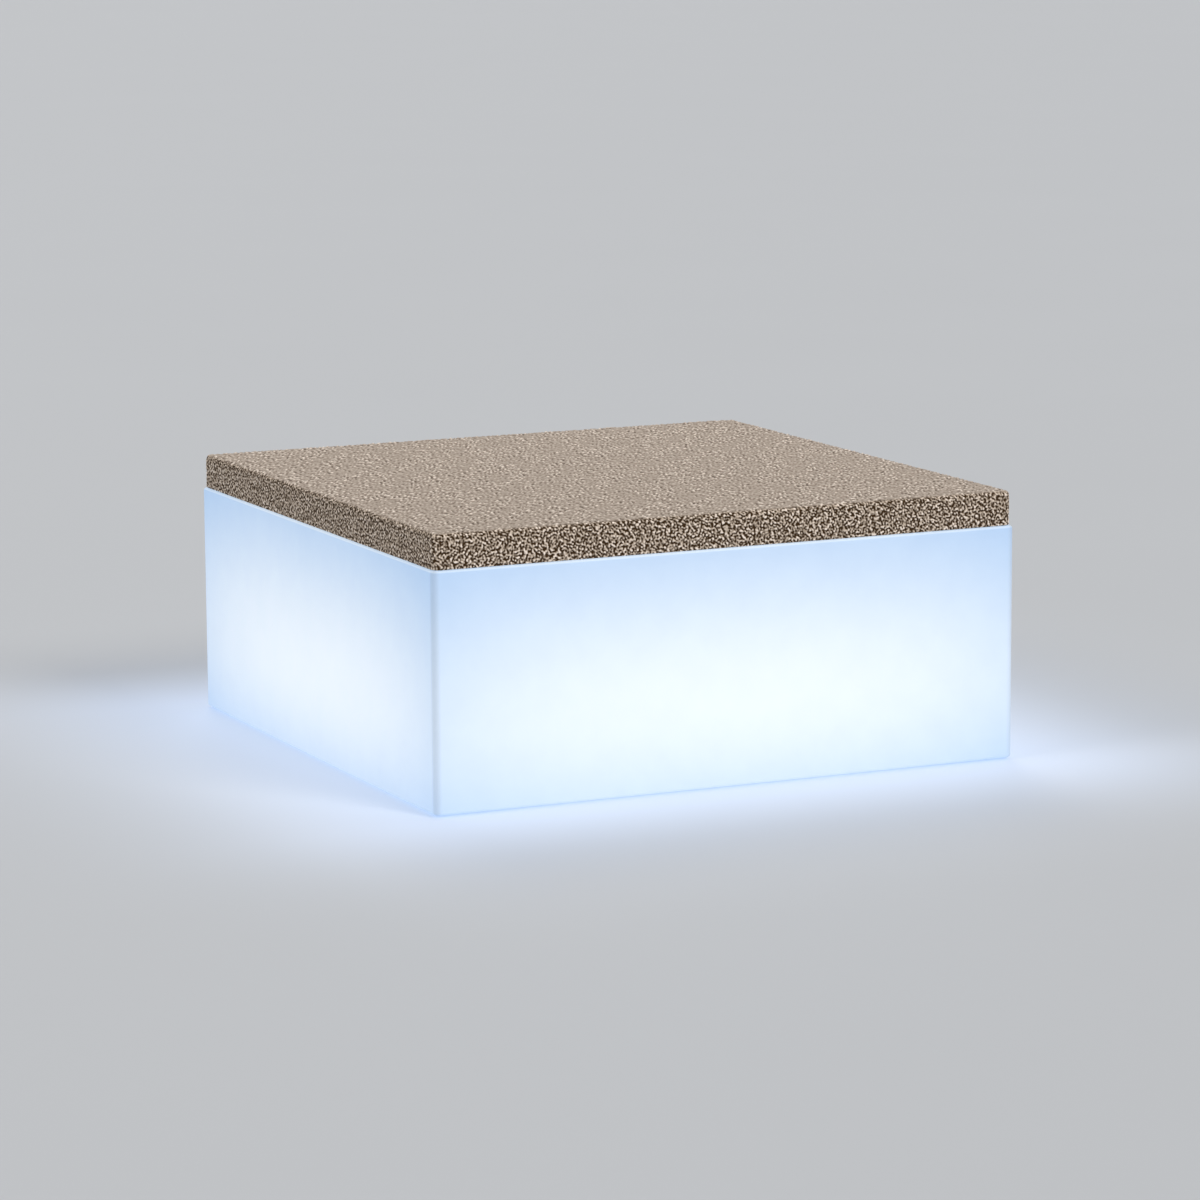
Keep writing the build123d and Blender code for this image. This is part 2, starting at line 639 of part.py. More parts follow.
# Light plate with its seal groove, chip board, chips, terminal and screws
clamp_inner_radius = tub_radius - CLAMP_WIDTH
dome_foot_radius = clamp_inner_radius - CLAMP_GAP
chip_board_radius = dome_foot_radius - CHIP_BOARD_MARGIN
chip_outer_ring = chip_board_radius - CHIP_FROM_EDGE
chip_ring_pitch = (chip_outer_ring - CHIP_INNER_RING) / (CHIP_RING_COUNT - 1)
chip_screw_circle = CHIP_INNER_RING + chip_ring_pitch / 2
seal_circle = pillar_circle - SEAL_FROM_SCREWS
groove_half = SEAL_CORD_RADIUS + RUN_FIT
with BuildPart() as light_plate:
    with BuildSketch(Plane.XY.offset(tub_rim_z)):
        Circle(tub_radius)
        Circle(GROMMET_RADIUS, mode=Mode.SUBTRACT)
        with PolarLocations(pillar_circle, PILLAR_COUNT, start_angle=pillar_turn):
            Circle(CLAMP_SCREW_RADIUS + HOLE_FIT, mode=Mode.SUBTRACT)
        with PolarLocations(chip_screw_circle, CHIP_SCREW_COUNT, start_angle=45):
            Circle(small_hole_radius, mode=Mode.SUBTRACT)
    extrude(amount=PLATE_THICKNESS)
    with BuildSketch(Plane.XY.offset(plate_top_z)):
        Circle(seal_circle + groove_half)
        Circle(seal_circle - groove_half, mode=Mode.SUBTRACT)
    extrude(amount=-2 * SEAL_CORD_RADIUS, mode=Mode.SUBTRACT)
light_plate.part.label = "light_plate"
export_step(light_plate.part, "parts/light_plate.step")

with BuildPart() as dome_seal:
    with Locations((0, 0, plate_top_z - SEAL_CORD_RADIUS)):
        Torus(seal_circle, SEAL_CORD_RADIUS)
dome_seal.part.label = "dome_seal"
export_step(dome_seal.part, "parts/dome_seal.step")

with BuildPart() as chip_board:
    with BuildSketch(Plane.XY.offset(plate_top_z)):
        Circle(chip_board_radius)
        Circle(CHIP_BOARD_BORE, mode=Mode.SUBTRACT)
        with PolarLocations(chip_screw_circle, CHIP_SCREW_COUNT, start_angle=45):
            Circle(SMALL_SCREW_RADIUS + HOLE_FIT, mode=Mode.SUBTRACT)
    extrude(amount=CHIP_BOARD_THICKNESS)
chip_board.part.label = "chip_board"
export_step(chip_board.part, "parts/chip_board.step")

with BuildPart() as light_chips:
    for ring in range(CHIP_RING_COUNT):
        ring_radius = CHIP_INNER_RING + ring * chip_ring_pitch
        chip_count = CHIP_STEP_COUNT * (ring + 1)
        with Locations((0, 0, chip_top_z)):
            with PolarLocations(ring_radius, chip_count, start_angle=180 / chip_count):
                Box(CHIP_SIDE, CHIP_SIDE, CHIP_HEIGHT, align=on_board)
light_chips.part.label = "light_chips"
export_step(light_chips.part, "parts/light_chips.step")

chip_screw = cap_screw(
    SMALL_HEAD_RADIUS,
    SMALL_HEAD_HEIGHT,
    SMALL_SCREW_RADIUS,
    CHIP_BOARD_THICKNESS + CHIP_SCREW_BITE,
)
with BuildPart() as chip_board_screws:
    with Locations(Plane.XY.offset(chip_top_z) * Rotation(180, 0, 0)):
        with PolarLocations(chip_screw_circle, CHIP_SCREW_COUNT, start_angle=45):
            add(chip_screw)
chip_board_screws.part.label = "chip_board_screws"
export_step(chip_board_screws.part, "parts/chip_board_screws.step")

light_lead_z = plate_top_z + LIGHT_LEAD_BEND + PART_GAP
terminal_x = CHIP_BOARD_BORE + LIGHT_LEAD_BEND
terminal_height = light_lead_z + LEAD_RADIUS + TERMINAL_ROOF - chip_top_z
with BuildPart() as light_terminal:
    with Locations((terminal_x, 0, chip_top_z)):
        Box(
            TERMINAL_LENGTH,
            TERMINAL_LENGTH,
            terminal_height,
            align=(Align.MIN, Align.CENTER, Align.MIN),
        )
light_terminal.part.label = "light_terminal"
export_step(light_terminal.part, "parts/light_terminal.step")

# Grommet that carries the light lead through the plate, with a lip below
with BuildPart() as lead_grommet:
    with BuildSketch(Plane.XY.offset(tub_rim_z)):
        Circle(GROMMET_RADIUS - THREAD_FIT)
    extrude(amount=PLATE_THICKNESS)
    with BuildSketch(Plane.XY.offset(tub_rim_z)):
        Circle(GROMMET_RADIUS + GROMMET_LIP)
    extrude(amount=-GROMMET_LIP)
    with BuildSketch(Plane.XY.offset(plate_top_z)):
        Circle(LEAD_RADIUS + THREAD_FIT)
    extrude(amount=-PLATE_THICKNESS - GROMMET_LIP, mode=Mode.SUBTRACT)
lead_grommet.part.label = "lead_grommet"
export_step(lead_grommet.part, "parts/lead_grommet.step")

# Opal dome: part of a sphere on a flat flange
dome_top_z = dome_flange_z + DOME_RISE
dome_sphere = (dome_foot_radius**2 + DOME_RISE**2) / (2 * DOME_RISE)
dome_centre_z = dome_top_z - dome_sphere
dome_inner = dome_sphere - DOME_WALL


def dome_reach(sphere_radius, z):
    """How far a dome of that radius reaches from the axis at height z."""
    return sqrt(sphere_radius**2 - (z - dome_centre_z) ** 2)


def dome_middle(sphere_radius, z):
    """A point halfway along the dome's arc between height z and its top."""
    half_angle = asin(dome_reach(sphere_radius, z) / sphere_radius) / 2
    return sphere_radius * sin(half_angle), dome_centre_z + sphere_radius * cos(half_angle)


with BuildPart() as diffuser_dome:
    with BuildSketch(Plane.XZ):
        with BuildLine():
            Line((0, dome_centre_z + dome_inner), (0, dome_top_z))
            ThreePointArc(
                (0, dome_top_z),
                dome_middle(dome_sphere, dome_flange_z),
                (dome_reach(dome_sphere, dome_flange_z), dome_flange_z),
            )
            Polyline(
                (dome_reach(dome_sphere, dome_flange_z), dome_flange_z),
                (tub_radius, dome_flange_z),
                (tub_radius, plate_top_z),
                (dome_reach(dome_inner, plate_top_z), plate_top_z),
            )
            ThreePointArc(
                (dome_reach(dome_inner, plate_top_z), plate_top_z),
                dome_middle(dome_inner, plate_top_z),
                (0, dome_centre_z + dome_inner),
            )
        make_face()
    revolve(axis=Axis.Z)
    with BuildSketch(Plane.XY.offset(plate_top_z)):
        with PolarLocations(pillar_circle, PILLAR_COUNT, start_angle=pillar_turn):
            Circle(CLAMP_SCREW_RADIUS + HOLE_FIT)
    extrude(amount=DOME_FLANGE, mode=Mode.SUBTRACT)
diffuser_dome.part.label = "diffuser_dome"
export_step(diffuser_dome.part, "parts/diffuser_dome.step")

with BuildPart() as clamp_ring:
    with BuildSketch(Plane.XY.offset(dome_flange_z)):
        Circle(tub_radius)
        Circle(clamp_inner_radius, mode=Mode.SUBTRACT)
        with PolarLocations(pillar_circle, PILLAR_COUNT, start_angle=pillar_turn):
            Circle(CLAMP_SCREW_RADIUS + HOLE_FIT, mode=Mode.SUBTRACT)
    extrude(amount=CLAMP_THICKNESS)
clamp_ring.part.label = "clamp_ring"
export_step(clamp_ring.part, "parts/clamp_ring.step")

clamp_screw = cap_screw(
    CLAMP_HEAD_RADIUS,
    CLAMP_HEAD_HEIGHT,
    CLAMP_SCREW_RADIUS,
    PLATE_THICKNESS + DOME_FLANGE + CLAMP_THICKNESS + CLAMP_SCREW_THREAD,
)
with BuildPart() as clamp_screws:
    with Locations(Plane.XY.offset(clamp_top_z) * Rotation(180, 0, 0)):
        with PolarLocations(pillar_circle, PILLAR_COUNT, start_angle=pillar_turn):
            add(clamp_screw)
clamp_screws.part.label = "clamp_screws"
export_step(clamp_screws.part, "parts/clamp_screws.step")

# Push switch: seal, threaded barrel, nut, button, return spring and contact block
switch_rim_radius = SWITCH_THREAD_RADIUS + SWITCH_RIM
rim_foot_z = rim_top_z - SWITCH_RIM_THICKNESS
lip_top_z = rim_foot_z + SWITCH_LIP
barrel_top_z = block_foot_z + SWITCH_BACK
shoulder_radius = BUTTON_FACE_RADIUS + BUTTON_SHOULDER
barrel_bore = shoulder_radius + RUN_FIT
block_radius = barrel_bore + BUTTON_SHOULDER
button_back_z = lip_top_z + THREAD_FIT + BUTTON_BODY

with BuildPart() as switch_seal:
    with BuildSketch(Plane.XY.offset(rim_top_z)):
        with Locations((SWITCH_X, fitting_y)):
            Circle(switch_rim_radius - PART_GAP)
            Circle(SWITCH_THREAD_RADIUS + HOLE_FIT, mode=Mode.SUBTRACT)
    extrude(amount=SEAL_THICKNESS)
switch_seal.part.label = "switch_seal"
export_step(switch_seal.part, "parts/switch_seal.step")

with BuildPart() as switch_barrel:
    with BuildSketch(Plane.XY.offset(rim_foot_z)):
        with Locations((SWITCH_X, fitting_y)):
            Circle(switch_rim_radius)
    extrude(amount=SWITCH_RIM_THICKNESS)
    fillet(switch_barrel.edges().sort_by(Axis.Z)[0], SWITCH_RIM_THICKNESS / 3)
    with BuildSketch(Plane.XY.offset(rim_top_z)):
        with Locations((SWITCH_X, fitting_y)):
            Circle(SWITCH_THREAD_RADIUS)
    extrude(amount=barrel_top_z - rim_top_z)
    with BuildSketch(Plane.XY.offset(rim_foot_z)):
        with Locations((SWITCH_X, fitting_y)):
            Circle(BUTTON_FACE_RADIUS + RUN_FIT)
    extrude(amount=SWITCH_LIP, mode=Mode.SUBTRACT)
    with BuildSketch(Plane.XY.offset(lip_top_z)):
        with Locations((SWITCH_X, fitting_y)):
            Circle(barrel_bore)
    extrude(amount=block_foot_z - lip_top_z, mode=Mode.SUBTRACT)
    with BuildSketch(Plane.XY.offset(block_foot_z)):
        with Locations((SWITCH_X, fitting_y)):
            Circle(block_radius + THREAD_FIT)
    extrude(amount=SWITCH_BACK, mode=Mode.SUBTRACT)
switch_barrel.part.label = "switch_barrel"
export_step(switch_barrel.part, "parts/switch_barrel.step")

switch_nut_shape = hex_nut(
    NUT_ACROSS, NUT_THICKNESS, SWITCH_THREAD_RADIUS + THREAD_FIT, flange_top_z
)
with BuildPart() as switch_nut:
    with Locations((SWITCH_X, fitting_y)):
        add(switch_nut_shape)
switch_nut.part.label = "switch_nut"
export_step(switch_nut.part, "parts/switch_nut.step")

with BuildPart() as power_button:
    with BuildSketch(Plane.XY.offset(rim_foot_z - BUTTON_PROUD)):
        with Locations((SWITCH_X, fitting_y)):
            Circle(BUTTON_FACE_RADIUS)
    extrude(amount=BUTTON_PROUD + SWITCH_LIP + THREAD_FIT)
    with BuildSketch(Plane.XY.offset(lip_top_z + THREAD_FIT)):
        with Locations((SWITCH_X, fitting_y)):
            Circle(shoulder_radius)
    extrude(amount=BUTTON_BODY)
    with BuildSketch(Plane.XY.offset(button_back_z)):
        with Locations((SWITCH_X, fitting_y)):
            Circle(STEM_RADIUS)
    extrude(amount=STEM_LENGTH)
    face_edge = power_button.edges().sort_by(Axis.Z)[0]
    fillet(face_edge, BUTTON_DISH)
    with BuildSketch(Plane.XY.offset(rim_foot_z - BUTTON_PROUD)):
        with Locations((SWITCH_X, fitting_y)):
            Circle(BUTTON_FACE_RADIUS * 0.6)
    extrude(amount=BUTTON_DISH, taper=45, mode=Mode.SUBTRACT)
power_button.part.label = "power_button"
export_step(power_button.part, "parts/power_button.step")

spring_foot_z = button_back_z + SPRING_WIRE_RADIUS + THREAD_FIT
spring_height = block_foot_z - button_back_z - 2 * (SPRING_WIRE_RADIUS + THREAD_FIT)
with BuildPart() as switch_spring:
    with BuildLine(Plane((SWITCH_X, fitting_y, spring_foot_z))) as coil:
        Helix(spring_height / SPRING_TURNS, spring_height, SPRING_RADIUS)
    with BuildSketch(Plane(coil.line @ 0, z_dir=coil.line % 0)):
        Circle(SPRING_WIRE_RADIUS)
    sweep(is_frenet=True)
switch_spring.part.label = "switch_spring"
export_step(switch_spring.part, "parts/switch_spring.step")

stem_room = STEM_LENGTH + BUTTON_TRAVEL + PART_GAP - (block_foot_z - button_back_z)
with BuildPart() as switch_block:
    with BuildSketch(Plane.XY.offset(block_foot_z)):
        with Locations((SWITCH_X, fitting_y)):
            Circle(block_radius)
    extrude(amount=BLOCK_LENGTH)
    with BuildSketch(Plane.XY.offset(block_foot_z)):
        with Locations((SWITCH_X, fitting_y)):
            Circle(STEM_RADIUS + HOLE_FIT)
    extrude(amount=stem_room, mode=Mode.SUBTRACT)
switch_block.part.label = "switch_block"
export_step(switch_block.part, "parts/switch_block.step")

# Charging socket with two hinge lugs on its rim, its contact, seal, nut, cap and pin
inlet_rim_z = rim_top_z - INLET_RIM_THICKNESS
inlet_bore_end_z = inlet_rim_z + INLET_BORE_DEPTH
inlet_top_z = flange_foot_z + INLET_LENGTH
cap_top_z = inlet_rim_z - CAP_GAP
hinge_reach = INLET_RIM_RADIUS + HINGE_EYE_RADIUS + HINGE_SIDE_GAP
hinge_x = INLET_X + hinge_reach
hinge_z = cap_top_z
lug_middle = KNUCKLE_WIDTH / 2 + HINGE_SIDE_GAP + LUG_THICKNESS / 2
pin_length = KNUCKLE_WIDTH + 2 * (HINGE_SIDE_GAP + LUG_THICKNESS)

with BuildPart() as inlet_seal:
    with BuildSketch(Plane.XY.offset(rim_top_z)):
        with Locations((INLET_X, fitting_y)):
            Circle(INLET_RIM_RADIUS - PART_GAP)
            Circle(INLET_THREAD_RADIUS + HOLE_FIT, mode=Mode.SUBTRACT)
    extrude(amount=SEAL_THICKNESS)
inlet_seal.part.label = "inlet_seal"
export_step(inlet_seal.part, "parts/inlet_seal.step")

with BuildPart() as charge_inlet:
    with BuildSketch(Plane.XY.offset(inlet_rim_z)):
        with Locations((INLET_X, fitting_y)):
            Circle(INLET_RIM_RADIUS)
        for side in (-1, 1):
            with Locations((INLET_X, fitting_y + side * lug_middle)):
                Rectangle(hinge_reach, LUG_THICKNESS, align=(Align.MIN, Align.CENTER))
    extrude(amount=INLET_RIM_THICKNESS)
    with BuildSketch(Plane.XZ.offset(-fitting_y - pin_length / 2)):
        with Locations((hinge_x, hinge_z)):
            Circle(HINGE_EYE_RADIUS)
    extrude(amount=LUG_THICKNESS)
    with BuildSketch(Plane.XZ.offset(-fitting_y + pin_length / 2 - LUG_THICKNESS)):
        with Locations((hinge_x, hinge_z)):
            Circle(HINGE_EYE_RADIUS)
    extrude(amount=LUG_THICKNESS)
    with BuildSketch(Plane.XY.offset(rim_top_z)):
        with Locations((INLET_X, fitting_y)):
            Circle(INLET_THREAD_RADIUS)
    extrude(amount=inlet_top_z - rim_top_z)
    with BuildSketch(Plane.XY.offset(inlet_rim_z)):
        with Locations((INLET_X, fitting_y)):
            Circle(INLET_BORE_RADIUS)
    extrude(amount=INLET_BORE_DEPTH, mode=Mode.SUBTRACT)
    with BuildSketch(Plane.XY.offset(inlet_bore_end_z)):
        with Locations((INLET_X, fitting_y)):
            Circle(CONTACT_RADIUS + THREAD_FIT)
    extrude(amount=CONTACT_SINK, mode=Mode.SUBTRACT)
    with BuildSketch(Plane.XZ.offset(-fitting_y - pin_length / 2)):
        with Locations((hinge_x, hinge_z)):
            Circle(HINGE_PIN_RADIUS + THREAD_FIT)
    extrude(amount=pin_length, mode=Mode.SUBTRACT)
charge_inlet.part.label = "charge_inlet"
export_step(charge_inlet.part, "parts/charge_inlet.step")

with BuildPart() as inlet_contact:
    with BuildSketch(Plane.XY.offset(inlet_rim_z + CONTACT_SETBACK)):
        with Locations((INLET_X, fitting_y)):
            Circle(CONTACT_RADIUS)
    extrude(amount=INLET_BORE_DEPTH - CONTACT_SETBACK + CONTACT_SINK)
inlet_contact.part.label = "inlet_contact"
export_step(inlet_contact.part, "parts/inlet_contact.step")

inlet_nut_shape = hex_nut(
    INLET_NUT_ACROSS, INLET_NUT_THICKNESS, INLET_THREAD_RADIUS + THREAD_FIT, flange_top_z
)
with BuildPart() as inlet_nut:
    with Locations((INLET_X, fitting_y)):
        add(inlet_nut_shape)
inlet_nut.part.label = "inlet_nut"
export_step(inlet_nut.part, "parts/inlet_nut.step")

spigot_radius = INLET_BORE_RADIUS - HOLE_FIT - RUN_FIT
with BuildPart() as inlet_cap:
    with BuildSketch(Plane.XY.offset(cap_top_z)):
        with Locations((INLET_X, fitting_y)):
            Circle(CAP_RADIUS)
            Rectangle(hinge_reach, KNUCKLE_WIDTH, align=(Align.MIN, Align.CENTER))
    extrude(amount=-CAP_THICKNESS)
    with BuildSketch(Plane.XZ.offset(-fitting_y - KNUCKLE_WIDTH / 2)):
        with Locations((hinge_x, hinge_z)):
            Circle(HINGE_EYE_RADIUS)
    extrude(amount=KNUCKLE_WIDTH)
    with BuildSketch(Plane.XY.offset(cap_top_z)):
        with Locations((INLET_X, fitting_y)):
            Circle(spigot_radius)
    extrude(amount=SPIGOT_LENGTH + CAP_GAP)
    with BuildSketch(Plane.XZ.offset(-fitting_y - KNUCKLE_WIDTH / 2)):
        with Locations((hinge_x, hinge_z)):
            Circle(HINGE_PIN_RADIUS + RUN_FIT)
    extrude(amount=KNUCKLE_WIDTH, mode=Mode.SUBTRACT)
inlet_cap.part.label = "inlet_cap"
export_step(inlet_cap.part, "parts/inlet_cap.step")

with BuildPart() as cap_hinge_pin:
    with BuildSketch(Plane.XZ.offset(-fitting_y - pin_length / 2)):
        with Locations((hinge_x, hinge_z)):
            Circle(HINGE_PIN_RADIUS)
    extrude(amount=pin_length)
cap_hinge_pin.part.label = "cap_hinge_pin"
export_step(cap_hinge_pin.part, "parts/cap_hinge_pin.step")

# Vent that lets the sealed tub breathe, with its nut, and the status light
with BuildPart() as pressure_vent:
    with BuildSketch(Plane.XY.offset(flange_foot_z)):
        with Locations((0, vent_y)):
            Circle(VENT_CAP_RADIUS)
    extrude(amount=-VENT_CAP_HEIGHT)
    fillet(pressure_vent.edges().sort_by(Axis.Z)[0], VENT_CAP_HEIGHT / 4)
    with BuildSketch(Plane.XY.offset(flange_foot_z)):
        with Locations((0, vent_y)):
            Circle(VENT_RADIUS)
    extrude(amount=FLANGE_THICKNESS + VENT_LENGTH)
pressure_vent.part.label = "pressure_vent"
export_step(pressure_vent.part, "parts/pressure_vent.step")

vent_nut_shape = hex_nut(
    INLET_NUT_ACROSS, INLET_NUT_THICKNESS, VENT_RADIUS + THREAD_FIT, flange_top_z
)
with BuildPart() as vent_nut:
    with Locations((0, vent_y)):
        add(vent_nut_shape)
vent_nut.part.label = "vent_nut"
export_step(vent_nut.part, "parts/vent_nut.step")

with BuildPart() as status_lens:
    with BuildSketch(Plane.XY.offset(flange_foot_z)):
        with Locations((0, fitting_y)):
            Circle(STATUS_HEAD_RADIUS)
    extrude(amount=-STATUS_HEAD_HEIGHT)
    fillet(status_lens.edges().sort_by(Axis.Z)[0], STATUS_HEAD_HEIGHT * 0.6)
    with BuildSketch(Plane.XY.offset(flange_foot_z)):
        with Locations((0, fitting_y)):
            Circle(STATUS_RADIUS)
    extrude(amount=STATUS_LENGTH)
status_lens.part.label = "status_lens"
export_step(status_lens.part, "parts/status_lens.step")

# Leads: battery, switch, charging socket and light plate, each to its socket on the board
board_edge = board_width / 2
battery_turn_y = board_edge + LEAD_BEND + PART_GAP
battery_lead = lead(
    LEAD_BEND,
    (BATTERY_LEAD_X, tray_width / 2, cell_axis_z),
    (BATTERY_LEAD_X, battery_turn_y, cell_axis_z),
    (BATTERY_LEAD_X, battery_turn_y, lead_entry_z),
    (BATTERY_LEAD_X, board_edge, lead_entry_z),
)
battery_lead.label = "battery_lead"
export_step(battery_lead, "parts/battery_lead.step")

switch_lead = lead(
    LEAD_BEND,
    (SWITCH_X, fitting_y, block_top_z),
    (SWITCH_X, fitting_y, lead_entry_z),
    (SWITCH_X, -board_edge, lead_entry_z),
)
switch_lead.label = "switch_lead"
export_step(switch_lead, "parts/switch_lead.step")

inlet_lead = lead(
    LEAD_BEND,
    (INLET_X, fitting_y, inlet_top_z),
    (INLET_X, fitting_y, lead_entry_z),
    (INLET_X, -board_edge, lead_entry_z),
)
inlet_lead.label = "inlet_lead"
export_step(inlet_lead, "parts/inlet_lead.step")

light_lead = lead(
    LIGHT_LEAD_BEND,
    (0, 0, board_top_z + SOCKET_HEIGHT),
    (0, 0, light_lead_z),
    (terminal_x, 0, light_lead_z),
)
light_lead.label = "light_lead"
export_step(light_lead, "parts/light_lead.step")

# Hook tapes in the landings on the body, and loop tapes under the pad
with BuildPart() as hook_tapes:
    with BuildSketch(Plane.XY.offset(body_top_z - tape_recess)):
        with four_corners(tape_place):
            Rectangle(TAPE_LENGTH, TAPE_WIDTH)
    extrude(amount=HOOK_THICKNESS)
hook_tapes.part.label = "hook_tapes"
export_step(hook_tapes.part, "parts/hook_tapes.step")

with BuildPart() as loop_tapes:
    with BuildSketch(Plane.XY.offset(pad_foot_z)):
        with four_corners(tape_place):
            Rectangle(TAPE_LENGTH, TAPE_WIDTH)
    extrude(amount=-LOOP_THICKNESS)
loop_tapes.part.label = "loop_tapes"
export_step(loop_tapes.part, "parts/loop_tapes.step")

# Seat pad: a foam slab in a cover of three cloths, with a groove and window for the zip. The band
# is turned under the foot, where the base cloth is sewn to it.
zip_z = pad_foot_z + PAD_THICKNESS / 2
zip_length = pad_side - 2 * ZIP_FROM_CORNER
zip_floor_y = pad_side / 2 - ZIP_SINK
zip_face = Plane((0, zip_floor_y, zip_z), x_dir=(1, 0, 0), z_dir=(0, 1, 0))

foam_block = rounded_block(
    foam_side,
    pad_foot_z + CLOTH,
    PAD_THICKNESS - 2 * CLOTH,
    PAD_CORNER_RADIUS - CLOTH,
    PAD_TOP_RADIUS - CLOTH,
    max(PAD_FOOT_RADIUS - CLOTH, INNER_RADIUS_LEAST / 2),
)
with BuildPart() as seat_foam:
    add(foam_block)
    with BuildSketch(zip_face):
        Rectangle(zip_length, ZIP_WIDTH)
    extrude(amount=ZIP_SINK, mode=Mode.SUBTRACT)
seat_foam.part.label = "seat_foam"
export_step(seat_foam.part, "parts/seat_foam.step")

pad_block = rounded_block(
    pad_side, pad_foot_z, PAD_THICKNESS, PAD_CORNER_RADIUS, PAD_TOP_RADIUS, PAD_FOOT_RADIUS
)
with BuildPart() as pad_cover:
    add(pad_block)
    add(foam_block, mode=Mode.SUBTRACT)
    with BuildSketch(zip_face):
        Rectangle(zip_length, ZIP_WIDTH)
    extrude(amount=ZIP_SINK, mode=Mode.SUBTRACT)
top_seam = Plane.XY.offset(pad_top_z - SEAM_BELOW_TOP)
base_side = pad_side - 2 * FOOT_TURN

with BuildPart() as cover_top:
    add(pad_cover.part)
    split(bisect_by=top_seam, keep=Keep.TOP)
cover_top.part.label = "cover_top"
export_step(cover_top.part, "parts/cover_top.step")

with BuildPart() as cover_band:
    add(pad_cover.part)
    split(bisect_by=top_seam, keep=Keep.BOTTOM)
    with BuildSketch(Plane.XY.offset(pad_foot_z)):
        Rectangle(base_side, base_side)
    extrude(amount=CLOTH, mode=Mode.SUBTRACT)
cover_band.part.label = "cover_band"
export_step(cover_band.part, "parts/cover_band.step")

with BuildPart() as cover_base:
    with BuildSketch(Plane.XY.offset(pad_foot_z)):
        Rectangle(base_side, base_side)
    extrude(amount=CLOTH)
cover_base.part.label = "cover_base"
export_step(cover_base.part, "parts/cover_base.step")

# Zip: a tape in the groove, a row of teeth on a narrow root, a stop at each end
teeth_half = zip_length / 2 - STOP_LENGTH
root_face = zip_face.offset(ZIP_TAPE_THICKNESS)
teeth_face = root_face.offset(TEETH_ROOT_HEIGHT)
with BuildPart() as zip_tape:
    with BuildSketch(zip_face):
        Rectangle(zip_length, ZIP_WIDTH)
    extrude(amount=ZIP_TAPE_THICKNESS)
zip_tape.part.label = "zip_tape"
export_step(zip_tape.part, "parts/zip_tape.step")

with BuildPart() as zip_teeth:
    with BuildSketch(root_face):
        Rectangle(2 * teeth_half, TEETH_ROOT_WIDTH)
    extrude(amount=TEETH_ROOT_HEIGHT)
    with BuildSketch(teeth_face):
        Rectangle(2 * teeth_half, TEETH_WIDTH)
    extrude(amount=TEETH_THICKNESS)
zip_teeth.part.label = "zip_teeth"
export_step(zip_teeth.part, "parts/zip_teeth.step")

with BuildPart() as zip_stops:
    with BuildSketch(root_face):
        with GridLocations(2 * teeth_half + STOP_LENGTH, 0, 2, 1):
            Rectangle(STOP_LENGTH, TEETH_WIDTH + 2 * SLIDER_WALL)
    extrude(amount=TEETH_ROOT_HEIGHT + TEETH_THICKNESS)
zip_stops.part.label = "zip_stops"
export_step(zip_stops.part, "parts/zip_stops.step")

# Slider: a channel round the teeth, with two ears and a pin for the pull
slider_x = teeth_half - SLIDER_LENGTH / 2 - PART_GAP
channel_half = TEETH_WIDTH / 2 + SLIDER_EASE
slider_half = channel_half + SLIDER_WALL
lip_half = TEETH_ROOT_WIDTH / 2 + SLIDER_EASE
lip_depth = TEETH_ROOT_HEIGHT - 2 * SLIDER_EASE
slider_foot_y = zip_floor_y + ZIP_TAPE_THICKNESS + SLIDER_EASE
channel_depth = TEETH_THICKNESS + 2 * SLIDER_EASE
slider_top_y = slider_foot_y + lip_depth + channel_depth + SLIDER_PLATE
pull_axis_y = pad_side / 2 + PULL_RISE + PULL_THICKNESS / 2
ear_middle = PULL_EYE_WIDTH / 2 + SLIDER_EASE / 2 + SLIDER_WALL / 2
slider_end = Plane((slider_x - SLIDER_LENGTH / 2, 0, zip_z), x_dir=(0, 1, 0), z_dir=(1, 0, 0))
slider_middle_y = (slider_foot_y + slider_top_y) / 2
ear_foot_y = slider_top_y - SLIDER_PLATE / 2
with BuildPart() as zip_slider:
    with BuildSketch(slider_end):
        with Locations((slider_middle_y, 0)):
            Rectangle(slider_top_y - slider_foot_y, 2 * slider_half)
        with Locations((slider_foot_y + lip_depth + channel_depth / 2, 0)):
            Rectangle(channel_depth, 2 * channel_half, mode=Mode.SUBTRACT)
        with Locations((slider_foot_y + lip_depth / 2, 0)):
            Rectangle(lip_depth, 2 * lip_half, mode=Mode.SUBTRACT)
    extrude(amount=SLIDER_LENGTH)
    for side in (-1, 1):
        with Locations((slider_x, (ear_foot_y + pull_axis_y) / 2, zip_z + side * ear_middle)):
            Box(2 * PULL_EYE_RADIUS, pull_axis_y - ear_foot_y, SLIDER_WALL)
        with Locations((slider_x, pull_axis_y, zip_z + side * ear_middle)):
            Cylinder(PULL_EYE_RADIUS, SLIDER_WALL)
    with Locations((slider_x, pull_axis_y, zip_z)):
        Cylinder(PULL_PIN_RADIUS, 2 * ear_middle)
zip_slider.part.label = "zip_slider"
export_step(zip_slider.part, "parts/zip_slider.step")

